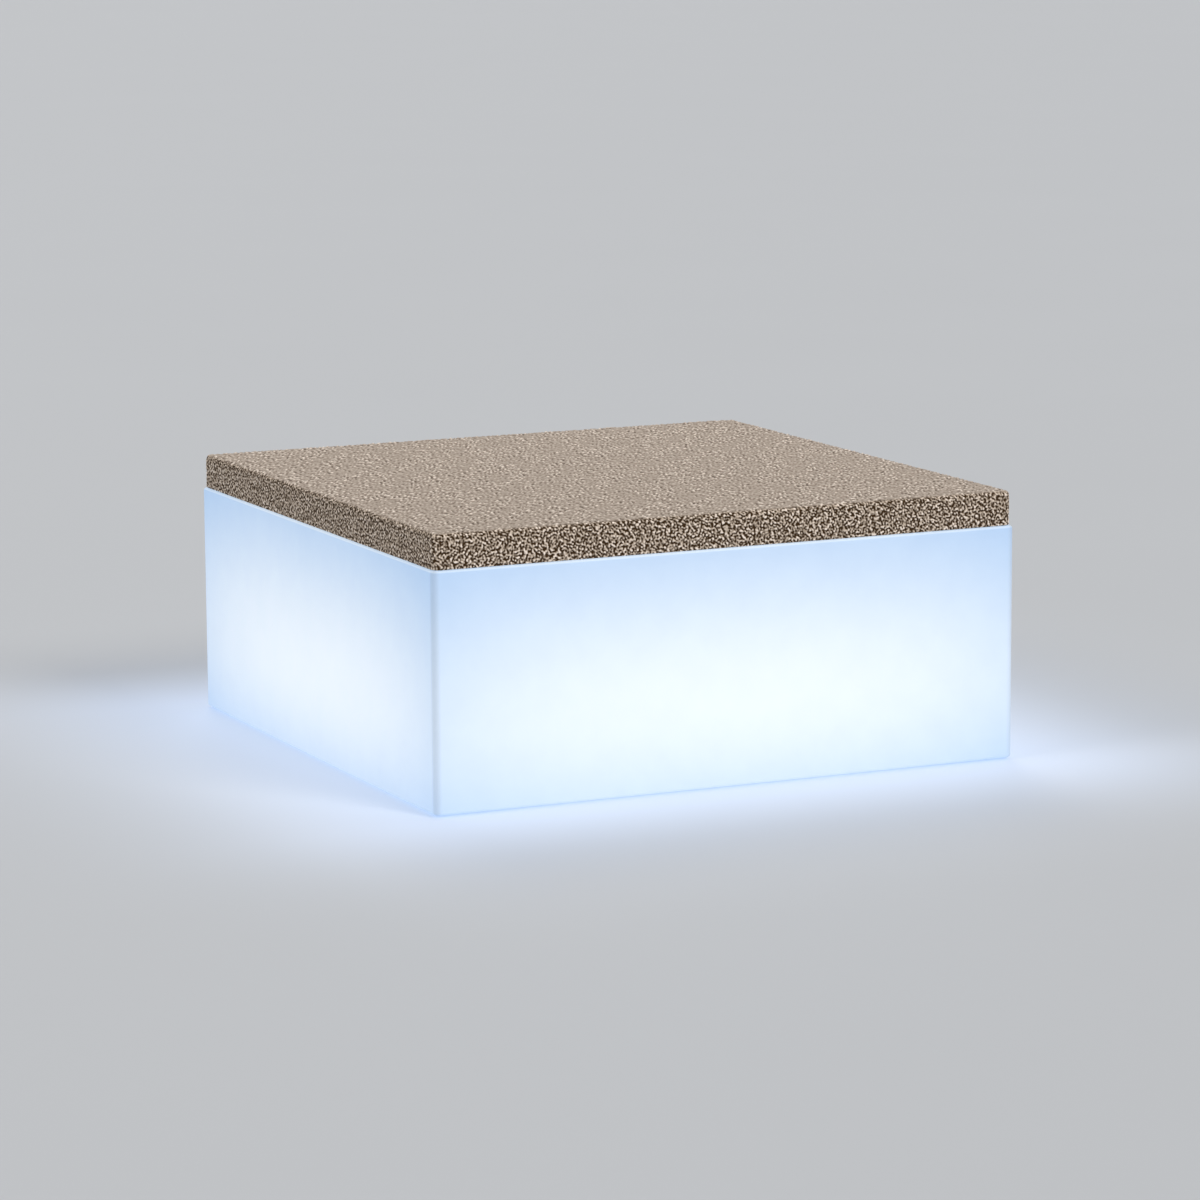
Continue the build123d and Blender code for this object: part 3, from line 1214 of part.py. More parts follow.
# Pull: an eye on the slider's pin and a flat tab with a hole near its end
tab_start = PULL_EYE_RADIUS + SLIDER_EASE
pull_face = Plane(
    (slider_x, pull_axis_y - PULL_THICKNESS / 2, zip_z), x_dir=(1, 0, 0), z_dir=(0, 1, 0)
)
with BuildPart() as zip_pull:
    with Locations((slider_x, pull_axis_y, zip_z)):
        Cylinder(PULL_EYE_RADIUS, PULL_EYE_WIDTH)
    with Locations((slider_x - tab_start, pull_axis_y, zip_z)):
        Box(2 * tab_start, PULL_THICKNESS, PULL_EYE_WIDTH)
    with BuildSketch(pull_face):
        with Locations((-tab_start - PULL_LENGTH / 2, 0)):
            RectangleRounded(PULL_LENGTH, PULL_WIDTH, PULL_WIDTH / 3)
        with Locations((-tab_start - PULL_LENGTH + PULL_WIDTH / 2, 0)):
            Circle(PULL_HOLE_RADIUS, mode=Mode.SUBTRACT)
    extrude(amount=PULL_THICKNESS)
    with Locations((slider_x, pull_axis_y, zip_z)):
        Cylinder(PULL_PIN_RADIUS + RUN_FIT, PULL_EYE_WIDTH, mode=Mode.SUBTRACT)
zip_pull.part.label = "zip_pull"
export_step(zip_pull.part, "parts/zip_pull.step")

zip_travel = 2 * slider_x
print("seat top", pad_top_z, "hinge", hinge_x, fitting_y, hinge_z, "zip travel", zip_travel)
print("tub radius", tub_radius, "recess radius", recess_radius)
print("pull axis", slider_x, pull_axis_y, zip_z, "block foot", block_foot_z)
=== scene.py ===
"""A glowing square pouf with an upholstered seat pad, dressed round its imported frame.

Metres, as the frame: X along the front, Y to the back, Z up, the floor at Z = 0.
"""
import logging
import math
from dataclasses import dataclass, field
from enum import Enum
from functools import cached_property
from typing import Any, Callable, Optional, Sequence, Union

import bpy
import numpy as np
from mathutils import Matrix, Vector


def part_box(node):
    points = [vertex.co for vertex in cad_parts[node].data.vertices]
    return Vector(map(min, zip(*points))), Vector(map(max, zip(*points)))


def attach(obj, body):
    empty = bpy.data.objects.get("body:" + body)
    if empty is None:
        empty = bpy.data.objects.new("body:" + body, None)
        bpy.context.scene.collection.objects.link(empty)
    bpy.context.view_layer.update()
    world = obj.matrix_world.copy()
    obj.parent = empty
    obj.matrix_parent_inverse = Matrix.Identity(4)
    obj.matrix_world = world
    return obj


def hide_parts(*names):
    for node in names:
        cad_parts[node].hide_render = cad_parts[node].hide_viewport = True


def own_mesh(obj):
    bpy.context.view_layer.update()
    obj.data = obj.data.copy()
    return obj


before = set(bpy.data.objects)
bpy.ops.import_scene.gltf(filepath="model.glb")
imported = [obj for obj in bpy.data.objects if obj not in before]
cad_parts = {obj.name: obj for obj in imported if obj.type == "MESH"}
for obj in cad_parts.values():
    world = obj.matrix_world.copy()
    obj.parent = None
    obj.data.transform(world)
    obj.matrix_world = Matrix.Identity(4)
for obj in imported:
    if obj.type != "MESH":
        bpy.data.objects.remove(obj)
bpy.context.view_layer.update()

MM = 0.001
TINY = 1e-6  # Slack between two numbers that should be equal
FACING = 0.999  # Least part of a normal that counts as straight
log = logging.getLogger("pouf")

Colour = tuple[float, float, float, float]
Number = Union[float, "Signal"]
BLACK: Colour = (0.0, 0.0, 0.0, 1.0)
WHITE: Colour = (1.0, 1.0, 1.0, 1.0)


def srgb(red: int, green: int, blue: int) -> Colour:
    """Turn a colour as a screen shows it, 0 to 255, into the linear one that nodes take.

    Args:
        red, green, blue: The three parts of the colour on the screen.

    Returns:
        The linear colour with an alpha of 1.
    """
    parts = [part / 255 for part in (red, green, blue)]
    line = [p / 12.92 if p <= 0.04045 else ((p + 0.055) / 1.055) ** 2.4 for p in parts]
    return (line[0], line[1], line[2], 1.0)


# Node trees


class Signal:
    """An output socket that takes part in arithmetic: every operator adds a Math node."""

    def __init__(self, tree: "NodeTree", socket: bpy.types.NodeSocket) -> None:
        """Remember the socket and the tree that it is in."""
        self.tree = tree
        self.socket = socket

    def __add__(self, other: Number) -> "Signal":
        """The sum."""
        return self.tree.math("ADD", self, other)

    __radd__ = __add__

    def __sub__(self, other: Number) -> "Signal":
        """The difference."""
        return self.tree.math("SUBTRACT", self, other)

    def __rsub__(self, other: Number) -> "Signal":
        """The difference, the other way round."""
        return self.tree.math("SUBTRACT", other, self)

    def __mul__(self, other: Number) -> "Signal":
        """The product."""
        return self.tree.math("MULTIPLY", self, other)

    __rmul__ = __mul__

    def __pow__(self, other: Number) -> "Signal":
        """The power."""
        return self.tree.math("POWER", self, other)


class NodeTree:
    """A node tree of any kind, with one method that adds nodes."""

    def __init__(self, tree: bpy.types.NodeTree) -> None:
        """Wrap the tree and empty it."""
        self.tree = tree
        self.tree.nodes.clear()

    def add(
        self,
        kind: str,
        settings: Optional[dict[str, Any]] = None,
        inputs: Optional[dict[str, Any]] = None,
    ) -> bpy.types.Node:
        """Add one node.

        Args:
            kind: The node's type.
            settings: Its own settings, set first.
            inputs: Values or signals for its sockets, by identifier or name.

        Returns:
            The new node.
        """
        node = self.tree.nodes.new(kind)
        for key, value in (settings or {}).items():
            setattr(node, key, value)
        for key, value in (inputs or {}).items():
            self.feed(node, key, value)
        return node

    def feed(self, node: bpy.types.Node, key: str, value: Any) -> None:
        """Set or link one input socket.

        Args:
            node: The node.
            key: The socket's identifier or name.
            value: A plain value or a signal.
        """
        named = [s for s in node.inputs if s.identifier == key]
        socket = (named or [s for s in node.inputs if s.name == key])[0]
        if isinstance(value, Signal):
            self.tree.links.new(value.socket, socket)
        else:
            socket.default_value = value

    def signal(self, node: bpy.types.Node, key: Optional[str] = None) -> Signal:
        """The node's output as a signal.

        Args:
            node: The node.
            key: The output's identifier or name, or None for the first one.

        Returns:
            The signal.
        """
        outputs = [s for s in node.outputs if key in (None, s.identifier, s.name)]
        return Signal(self, outputs[0])

    def math(self, operation: str, first: Number, second: Number = 0.0) -> Signal:
        """Add a Math node.

        Args:
            operation: What it does.
            first: Its first value.
            second: Its second value.

        Returns:
            The result.
        """
        node = self.add("ShaderNodeMath", {"operation": operation})
        for socket, value in zip(node.inputs, (first, second)):
            self.feed(node, socket.identifier, value)
        return self.signal(node)


class FinishTree(NodeTree):
    """The nodes of one material round a Principled shader."""

    def __init__(self, name: str) -> None:
        """Start the material.

        Args:
            name: The material's name.
        """
        self.material = bpy.data.materials.new(name)
        self.material.use_nodes = True
        super().__init__(self.material.node_tree)
        output = self.add("ShaderNodeOutputMaterial")
        self.shader = self.add("ShaderNodeBsdfPrincipled")
        self.tree.links.new(self.shader.outputs[0], output.inputs["Surface"])
        self.place = self.signal(self.add("ShaderNodeTexCoord"), "Object")

    def attribute(self, name: str) -> Signal:
        """A value that the piece stores at its own points, by its name."""
        return self.signal(self.add("ShaderNodeAttribute", {"attribute_name": name}), "Fac")

    def axes(self) -> tuple[Signal, Signal, Signal]:
        """X, Y and Z of the place on the object."""
        node = self.add("ShaderNodeSeparateXYZ", None, {"Vector": self.place})
        return self.signal(node, "X"), self.signal(node, "Y"), self.signal(node, "Z")

    def scaled(self, factors: tuple[float, float, float]) -> Signal:
        """The place on the object, stretched along the axes.

        Args:
            factors: One factor for each axis.

        Returns:
            The stretched place.
        """
        inputs = {"Vector": self.place, "Vector_001": factors}
        node = self.add("ShaderNodeVectorMath", {"operation": "MULTIPLY"}, inputs)
        return self.signal(node, "Vector")

    def noise(
        self,
        size: float,
        detail: float = 2.0,
        roughness: float = 0.5,
        vector: Optional[Signal] = None,
    ) -> Signal:
        """Soft noise from 0 to 1.

        Args:
            size: Width of its largest patches in metres.
            detail: How many finer layers it has.
            roughness: How strong those are.
            vector: Where it is read, or None for the place on the object.

        Returns:
            The noise.
        """
        node = self.add(
            "ShaderNodeTexNoise",
            None,
            {
                "Vector": vector or self.place,
                "Scale": 1 / size,
                "Detail": detail,
                "Roughness": roughness,
            },
        )
        return self.signal(node, "Fac")

    def cells(self, size: float) -> Signal:
        """Distance to the middle of the nearest of many random cells.

        Args:
            size: Width of a cell in metres.

        Returns:
            The distance, about 0 to 1.
        """
        node = self.add("ShaderNodeTexVoronoi", None, {"Vector": self.place, "Scale": 1 / size})
        return self.signal(node, "Distance")

    def ease(self, value: Number, low: float, high: float) -> Signal:
        """A smooth step.

        Args:
            value: What is stepped.
            low: Where it leaves 0.
            high: Where it reaches 1.

        Returns:
            The step.
        """
        node = self.add(
            "ShaderNodeMapRange",
            {"interpolation_type": "SMOOTHSTEP"},
            {"Value": value, "From Min": low, "From Max": high},
        )
        return self.signal(node, "Result")

    def blend(self, factor: Number, low: Any, high: Any) -> Signal:
        """Mix two colours.

        Args:
            factor: 0 gives the first and 1 the second.
            low: The first colour.
            high: The second colour.

        Returns:
            The mixed colour.
        """
        node = self.add(
            "ShaderNodeMix",
            {"data_type": "RGBA", "blend_type": "MIX", "clamp_factor": True},
            {"Factor_Float": factor, "A_Color": low, "B_Color": high},
        )
        return self.signal(node, "Result_Color")

    def emboss(self, height: Number, depth: float) -> None:
        """Raise the surface's shading by a height.

        Args:
            height: The height, in units of depth.
            depth: Metres that one unit stands for.
        """
        bump = self.add("ShaderNodeBump", None, {"Height": height, "Distance": depth})
        self.set(Normal=self.signal(bump, "Normal"))

    def set(self, **sockets: Any) -> None:
        """Feed the shader's sockets; an underscore in a name stands for a space."""
        for name, value in sockets.items():
            self.feed(self.shader, name.replace("_", " "), value)


def eased(value: np.ndarray, low: float, high: float) -> np.ndarray:
    """A smooth step on an array.

    Args:
        value: What is stepped.
        low: Where it leaves 0.
        high: Where it reaches 1.

    Returns:
        The step.
    """
    share = np.clip((value - low) / (high - low), 0, 1)
    return share * share * (3 - 2 * share)


@dataclass(frozen=True)
class LoopField:
    """A random field of winding ridges, as looped yarn lies on cloth, that repeats both ways.

    Attributes:
        size: Lengths along both axes after which the field repeats, in metres.
        pitch: Distance between two ridges in metres.
        spread: How far that distance varies, as a share.
        seed: Start of the random draw.
        stretch: How many times longer the ridges are along the second axis.
        nubs: Strength of the thicker nubs in the yarn.
        calm: How much flatter the loops lie in some patches, as a share.
        lean: Turn of the whole field, from the second axis towards the first, in radians.
        nub_size: How many times larger the nubs are than the ridges.
        nub_spread: How many times more their size varies.
        patch_size: How many times larger the patches are than the ridges.
        patch_spread: How far the patches' size varies, as a share.
        patch_range: Where a patch starts to lie flatter and where it lies flattest.
        cells_per_ridge: Cells of the grid for each ridge.
    """

    size: tuple[float, float]
    pitch: float
    spread: float
    seed: int
    stretch: float = 1.0
    nubs: float = 0.0
    calm: float = 0.0
    lean: float = 0.0
    nub_size: float = 1.9
    nub_spread: float = 1.3
    patch_size: float = 9.0
    patch_spread: float = 0.5
    patch_range: tuple[float, float] = (-0.6, 1.4)
    cells_per_ridge: int = 6

    @cached_property
    def grid(self) -> np.ndarray:
        """The field on a fine grid, rows along the second axis, with a spread of 1."""
        random = np.random.default_rng(self.seed)
        loops = self.sifted(random, self.pitch, self.spread)
        nubs = self.sifted(random, self.nub_size * self.pitch, self.nub_spread * self.spread)
        patches = self.sifted(random, self.patch_size * self.pitch, self.patch_spread)
        standing = 1 - self.calm * eased(patches, *self.patch_range)
        values = (loops + self.nubs * nubs) * standing
        return values / values.std()

    def sifted(self, random: np.random.Generator, pitch: float, spread: float) -> np.ndarray:
        """Random values of which only the waves near one length are kept.

        Args:
            random: Where the values are drawn from.
            pitch: The waves' length in metres.
            spread: How far it varies, as a share.

        Returns:
            The values on the grid, with a spread of 1.
        """
        cells = [round(self.cells_per_ridge * length / self.pitch) for length in self.size]
        drawn = random.standard_normal((cells[1], cells[0]))
        along = np.fft.rfftfreq(cells[0], self.size[0] / cells[0])
        across = np.fft.fftfreq(cells[1], self.size[1] / cells[1]) * self.stretch
        turns = np.hypot(along[None, :], across[:, None]) * pitch
        passed = np.exp(-0.5 * ((turns - 1) / spread) ** 2)
        values = np.fft.irfft2(np.fft.rfft2(drawn) * passed, drawn.shape)
        return values / values.std()

    def heights(self, first: np.ndarray, second: np.ndarray) -> np.ndarray:
        """The field at many places.

        Args:
            first: Places along the first axis.
            second: Places along the second axis.

        Returns:
            The field's values, mostly from -2 to 2.
        """
        rows, columns = self.grid.shape
        turned = first * math.cos(self.lean) - second * math.sin(self.lean)
        second = first * math.sin(self.lean) + second * math.cos(self.lean)
        across, along = np.broadcast_arrays(
            second / self.size[1] * rows, turned / self.size[0] * columns
        )
        row, column = np.floor(across).astype(int), np.floor(along).astype(int)
        down, right = across - row, along - column
        upper = self.grid[row % rows, column % columns] * (1 - right)
        upper = upper + self.grid[row % rows, (column + 1) % columns] * right
        lower = self.grid[(row + 1) % rows, column % columns] * (1 - right)
        lower = lower + self.grid[(row + 1) % rows, (column + 1) % columns] * right
        return upper * (1 - down) + lower * down


# Finishes


@dataclass(frozen=True)
class Finish:
    """A finish: a material with a name and a plain colour to start from."""

    name: str
    colour: Colour

    def material(self) -> bpy.types.Material:
        """Build the finish.

        Returns:
            The material.
        """
        tree = FinishTree(self.name)
        self.dress(tree)
        return tree.material

    def dress(self, tree: FinishTree) -> None:
        """Feed the shader; each kind of finish has its own way."""
        tree.set(Base_Color=self.colour)


@dataclass(frozen=True)
class GlowPlastic(Finish):
    """Milky moulded plastic lit from inside, brightest round the height of the lamp.

    Attributes:
        dim: Light that it gives furthest from the lamp.
        bright: Light that it gives nearest to the lamp.
        half_side: Distance of the walls from the middle.
        lamp_z: Height of the brightest level.
        fade_up: How fast the light fades above that level, per square metre.
        fade_down: How fast it fades below.
        fade_aside: How fast it fades along a wall, per square metre.
        fade_corner: How much faster towards the corners, per metre to the fourth.
        corner_loss: Share of the light that the thicker moulding takes at the corners.
        corner_near, corner_far: Distances from a wall's plane where that loss is full and
            where it starts.
        rim_z: Height at which the wall starts to turn over into the top.
        rim_tall: Height over which it does so.
        rim_highlight_and_top_glow: Strength of the painted highlight along the top edge, where the
            wall turns over under the pad, and of the top's brighter glow.
        top_spread: Distance from the middle of the top at which its own glow fades.
        cloud_size: Width of the faint clouds in the light.
        cloud: Strength of those clouds.
        peel: Depth of the orange peel in metres.
        shade: Colour of the plastic's darker patches.
    """

    dim: Colour = BLACK
    bright: Colour = WHITE
    half_side: float = 0.5
    lamp_z: float = 0.141
    fade_up: float = 14.6
    fade_down: float = 24.8
    fade_aside: float = 0.54
    fade_corner: float = 3.9
    corner_loss: float = 0.26
    corner_near: float = 0.003
    corner_far: float = 0.013
    rim_z: float = 0.3738
    rim_tall: float = 2.2 * MM
    rim_highlight_and_top_glow: float = 0.26
    top_spread: float = 0.3
    cloud_size: float = 0.22
    cloud: float = 0.06
    peel: float = 0.05 * MM
    shade: Colour = srgb(150, 156, 164)

    def dress(self, tree: FinishTree) -> None:
        """Light the walls, paint a highlight along their top edge, and give the moulded skin its
        faint orange peel.

        Args:
            tree: The material's tree.
        """
        x, y, z = tree.axes()
        rise = z - self.lamp_z
        above = tree.math("GREATER_THAN", rise, 0.0)
        fade = self.fade_down + above * (self.fade_up - self.fade_down)
        aside = tree.math("MAXIMUM", x * x + y * y - self.half_side**2, 0.0)
        lost = rise * rise * fade + aside * self.fade_aside + aside * aside * self.fade_corner
        cloud = (tree.noise(self.cloud_size, 1.0) - 0.5) * self.cloud
        nearer = tree.math("MINIMUM", tree.math("ABSOLUTE", x), tree.math("ABSOLUTE", y))
        corner_start = self.half_side - self.corner_far
        corner = tree.ease(nearer, corner_start, self.half_side - self.corner_near)
        middle = tree.math("EXPONENT", (x * x + y * y) * (-1 / self.top_spread**2))
        # Painted highlight: the glow is raised along the wall's top edge, under the pad, and over
        # the top, most in its middle.
        rim = tree.ease(z, self.rim_z, self.rim_z + self.rim_tall)
        glow = tree.math("EXPONENT", lost * -1.0) + cloud + rim * (middle + 1.0) * self.rim_highlight_and_top_glow
        light = tree.blend(glow, self.dim, self.bright)
        tree.set(
            Base_Color=tree.blend(tree.noise(0.05, 2.0), self.colour, self.shade),
            Emission_Color=tree.blend(corner * self.corner_loss, light, BLACK),
            Emission_Strength=1.0,
            Roughness=0.44 + tree.noise(0.012, 3.0) * 0.1,
            Specular_IOR_Level=0.3,
        )
        tree.emboss(tree.noise(0.006, 2.0) + tree.noise(0.0012, 1.0) * 0.15, self.peel)


@dataclass(frozen=True)
class MouldedPlastic(Finish):
    """Injection moulded plastic with a fine spark-eroded grain.

    Attributes:
        shine: Roughness of the surface.
        grain: Width of the grain in metres.
        depth: Depth of the grain in metres.
        light: Light that the piece gives off, or black.
        flow: Width of the flow marks in metres.
        darker: Share of the colour that is left in the darkest of them.
    """

    shine: float = 0.45
    grain: float = 0.0006
    depth: float = 0.00003
    light: Colour = BLACK
    flow: float = 0.03
    darker: float = 0.82

    def dress(self, tree: FinishTree) -> None:
        """Grain, flow marks and a slightly uneven gloss.

        Args:
            tree: The material's tree.
        """
        flow = tree.noise(self.flow, 3.0)
        grain = tree.noise(self.grain, 2.0, 0.6)
        darker = tuple(self.darker * part for part in self.colour[:3]) + (1.0,)
        tree.set(
            Base_Color=tree.blend(flow * 0.7 + grain * 0.3, darker, self.colour),
            Roughness=self.shine + (grain - 0.5) * 0.2 + (flow - 0.5) * 0.12,
        )
        if max(self.light[:3]) > 0:
            tree.set(
                Emission_Color=tree.blend(flow * 0.3, self.light, self.colour),
                Emission_Strength=1.0,
            )
        tree.emboss(grain, self.depth)


@dataclass(frozen=True)
class PlatedMetal(Finish):
    """Turned, rolled or plated metal with fine drawn lines.

    Attributes:
        shine: Roughness of the surface.
        lines: Stretch of the drawn lines along each axis.
        tarnish: Colour of the dull patches.
        line: Width of the drawn lines in metres.
        patch: Width of the dull patches in metres.
        depth: Depth of the lines in metres.
    """

    shine: float = 0.3
    lines: tuple[float, float, float] = (1.0, 1.0, 6.0)
    tarnish: Colour = (0.2, 0.2, 0.2, 1.0)
    line: float = 0.0009
    patch: float = 0.008
    depth: float = 0.012 * MM

    def dress(self, tree: FinishTree) -> None:
        """Drawn lines in the gloss and dull patches in the colour.

        Args:
            tree: The material's tree.
        """
        drawn = tree.noise(self.line, 2.0, 0.6, tree.scaled(self.lines))
        patch = tree.noise(self.patch, 3.0, 0.6)
        tree.set(
            Base_Color=tree.blend(tree.ease(patch, 0.35, 0.75) * 0.55, self.colour, self.tarnish),
            Metallic=1.0,
            Roughness=self.shine + (drawn - 0.5) * 0.24 + (patch - 0.5) * 0.15,
        )
        tree.emboss(drawn, self.depth)


@dataclass(frozen=True)
class SoftRubber(Finish):
    """Matt rubber with a dusty bloom.

    Attributes:
        bloom: Colour of the bloom.
        cloud: Width of its patches in metres.
        sand: Width of the sandy grain in metres.
        depth: Depth of that grain in metres.
    """

    bloom: Colour = srgb(74, 75, 78)
    cloud: float = 0.011
    sand: float = 0.0005
    depth: float = 0.04 * MM

    def dress(self, tree: FinishTree) -> None:
        """Bloom in the colour and a fine sandy skin.

        Args:
            tree: The material's tree.
        """
        bloom = tree.ease(tree.noise(self.cloud, 4.0, 0.65), 0.4, 0.8)
        sand = tree.noise(self.sand, 2.0, 0.7)
        tree.set(
            Base_Color=tree.blend(bloom * 0.6, self.colour, self.bloom),
            Roughness=0.7 + sand * 0.2,
        )
        tree.emboss(sand, self.depth)


@dataclass(frozen=True)
class CircuitBoard(Finish):
    """Laminate with copper tracks under a lacquer.

    Attributes:
        track: Colour of the lacquer over copper.
        pitch: Distance between tracks in metres.
        solder: Colour of the bare pads.
        region: Width of the regions in which the tracks run one way, in metres.
        pad_pitch: Distance between pads in metres.
        depth: Height of the tracks in metres.
    """

    track: Colour = (0.1, 0.3, 0.15, 1.0)
    pitch: float = 0.0024
    solder: Colour = srgb(196, 196, 190)
    region: float = 0.014
    pad_pitch: float = 0.007
    depth: float = 0.035 * MM

    def dress(self, tree: FinishTree) -> None:
        """Tracks that run straight and turn at random places, and bare round pads.

        Args:
            tree: The material's tree.
        """
        x, y, _ = tree.axes()
        along_x = tree.ease(tree.noise(self.region, 0.0), 0.49, 0.51)
        turn = 2 * math.pi / self.pitch
        wave_x, wave_y = (tree.math("SINE", place * turn) for place in (x, y))
        tracks = tree.ease(wave_x * along_x + wave_y * (1 - along_x), 0.1, 0.35)
        pads = 1 - tree.ease(tree.cells(self.pad_pitch), 0.1, 0.14)
        lacquer = tree.blend(tracks, self.colour, self.track)
        tree.set(
            Base_Color=tree.blend(pads, lacquer, self.solder),
            Metallic=pads * 0.9,
            Roughness=0.32 + tree.noise(0.002, 2.0) * 0.12,
        )
        tree.emboss(tracks + pads * 0.6, self.depth)


@dataclass(frozen=True)
class WovenCloth(Finish):
    """Plain or twill woven cloth or tape.

    Attributes:
        second: Colour of the crossing threads' shade.
        pitch: Distance between threads in metres.
        twill: Shift of each row, as a share of the pitch.
        depth: Height of the threads in metres.
        slub: Length of the thick places in the thread, in threads.
    """

    second: Colour = (0.1, 0.1, 0.1, 1.0)
    pitch: float = 0.0009
    twill: float = 0.0
    depth: float = 0.00018
    slub: float = 9.0

    def dress(self, tree: FinishTree) -> None:
        """Threads over and under each other, on whichever faces the piece has.

        Args:
            tree: The material's tree.
        """
        turn = 2 * math.pi / self.pitch
        x, y, z = tree.axes()
        across = y + z
        warp = tree.math("SINE", (x + across * self.twill) * turn)
        weft = tree.math("SINE", (across - x * self.twill) * turn)
        weave = warp * weft * 0.5 + 0.5
        slub = tree.noise(self.pitch * self.slub, 3.0, 0.6, tree.scaled((1.0, 0.25, 0.25)))
        tree.set(
            Base_Color=tree.blend(weave * 0.65 + slub * 0.35, self.second, self.colour),
            Roughness=0.82 + slub * 0.12,
            Sheen_Weight=0.15,
        )
        tree.emboss(weave + slub * 0.4, self.depth)


@dataclass(frozen=True)
class OpenFoam(Finish):
    """Open-celled seat foam.

    Attributes:
        worn: Colour of the yellowed patches.
        pore_shade: Colour in the pores: painted shade.
        patch: Width of the yellowed patches in metres.
        large, small: Widths of the two sizes of pores in metres.
        depth: Depth of the pores in metres.
    """

    worn: Colour = srgb(222, 205, 150)
    pore_shade: Colour = srgb(150, 134, 92)
    patch: float = 0.12
    large: float = 0.0022
    small: float = 0.0009
    depth: float = 0.5 * MM

    def dress(self, tree: FinishTree) -> None:
        """Pores of two sizes with painted shade in them, and a faint yellowing.

        Args:
            tree: The material's tree.
        """
        pores = tree.ease(tree.cells(self.large), 0.1, 0.6) * 0.6 + tree.cells(self.small) * 0.4
        worn = tree.blend(tree.noise(self.patch, 2.0), self.colour, self.worn)
        # Painted shade in the pores.
        tree.set(Base_Color=tree.blend(pores, self.pore_shade, worn), Roughness=0.92)
        tree.emboss(pores, self.depth)


@dataclass(frozen=True)
class BoucleCloth(Finish):
    """Thick looped cloth: winding cream yarn, with painted shade between the loops and painted
    highlights on the highest ones.

    The piece's attribute "loops" says how high the yarn stands, and "side" says how far a
    place is from the top panel, where the loops lie closer and the painted shade and
    highlights are weaker than on the sides.

    Attributes:
        gap_shade: Colour between the loops on the sides: painted shade.
        bloom: Painted highlight on the loops that stand highest.
        top_pit_shade: Colour between the loops on top: painted shade.
        top_yarn: Colour of the loops on top, the sides' yarn colour darkened with painted shade.
        top_highlight: Painted highlight on the highest loops there.
        fibre, tuft: Widths of the fine fibres and of the uneven tufts in metres.
        ridge, crest_highlight: Levels of the yarn between which the sides turn from painted shade
            to yarn, and from yarn to painted highlight.
        lying, stroke: The same on top, from painted shade to yarn and from yarn to painted
            highlight.
        depth: Height of the relief in metres.
    """

    gap_shade: Colour = srgb(61, 41, 17)
    bloom: Colour = srgb(255, 240, 226)
    top_pit_shade: Colour = srgb(98, 83, 69)
    top_yarn: Colour = srgb(176, 161, 147)
    top_highlight: Colour = srgb(243, 229, 215)
    fibre: float = 0.7 * MM
    tuft: float = 26 * MM
    ridge: tuple[float, float] = (-0.75, 0.75)
    crest_highlight: tuple[float, float] = (0.3, 2.0)
    lying: tuple[float, float] = (-1.8, 0.2)
    stroke: tuple[float, float] = (0.2, 2.0)
    depth: float = 0.9 * MM

    def dress(self, tree: FinishTree) -> None:
        """Colour with painted shade and highlights, and fine relief, after the piece's own loops.

        Args:
            tree: The material's tree.
        """
        loops, side = tree.attribute("loops"), tree.attribute("side")
        fibre = tree.noise(self.fibre, 3.0, 0.7) - 0.5
        tuft = tree.noise(self.tuft, 2.0, 0.6) - 0.5
        ridge = tree.ease(loops + fibre * 0.8 + tuft * 0.8, *self.ridge)
        crest_highlight = tree.ease(loops + fibre * 0.6 + tuft * 0.8, *self.crest_highlight)
        lying = tree.ease(loops + fibre * 0.6, *self.lying)
        stroke = tree.ease(loops + fibre * 0.6 + tuft * 0.6, *self.stroke)
        # Painted shade between the loops and painted highlights on the highest ones: strong on the
        # sides, weak on the top.
        side_colour = tree.blend(ridge, self.gap_shade, tree.blend(crest_highlight, self.colour, self.bloom))
        top_yarn = tree.blend(stroke, self.top_yarn, self.top_highlight)
        top_colour = tree.blend(lying, self.top_pit_shade, top_yarn)
        tree.set(
            Base_Color=tree.blend(side, top_colour, side_colour),
            Roughness=0.92,
            Specular_IOR_Level=0.15,
            Sheen_Weight=0.04,
        )
        relief = ridge * side + (lying + stroke) * (1 - side) * 0.6 + fibre * 0.22
        tree.emboss(relief, self.depth)


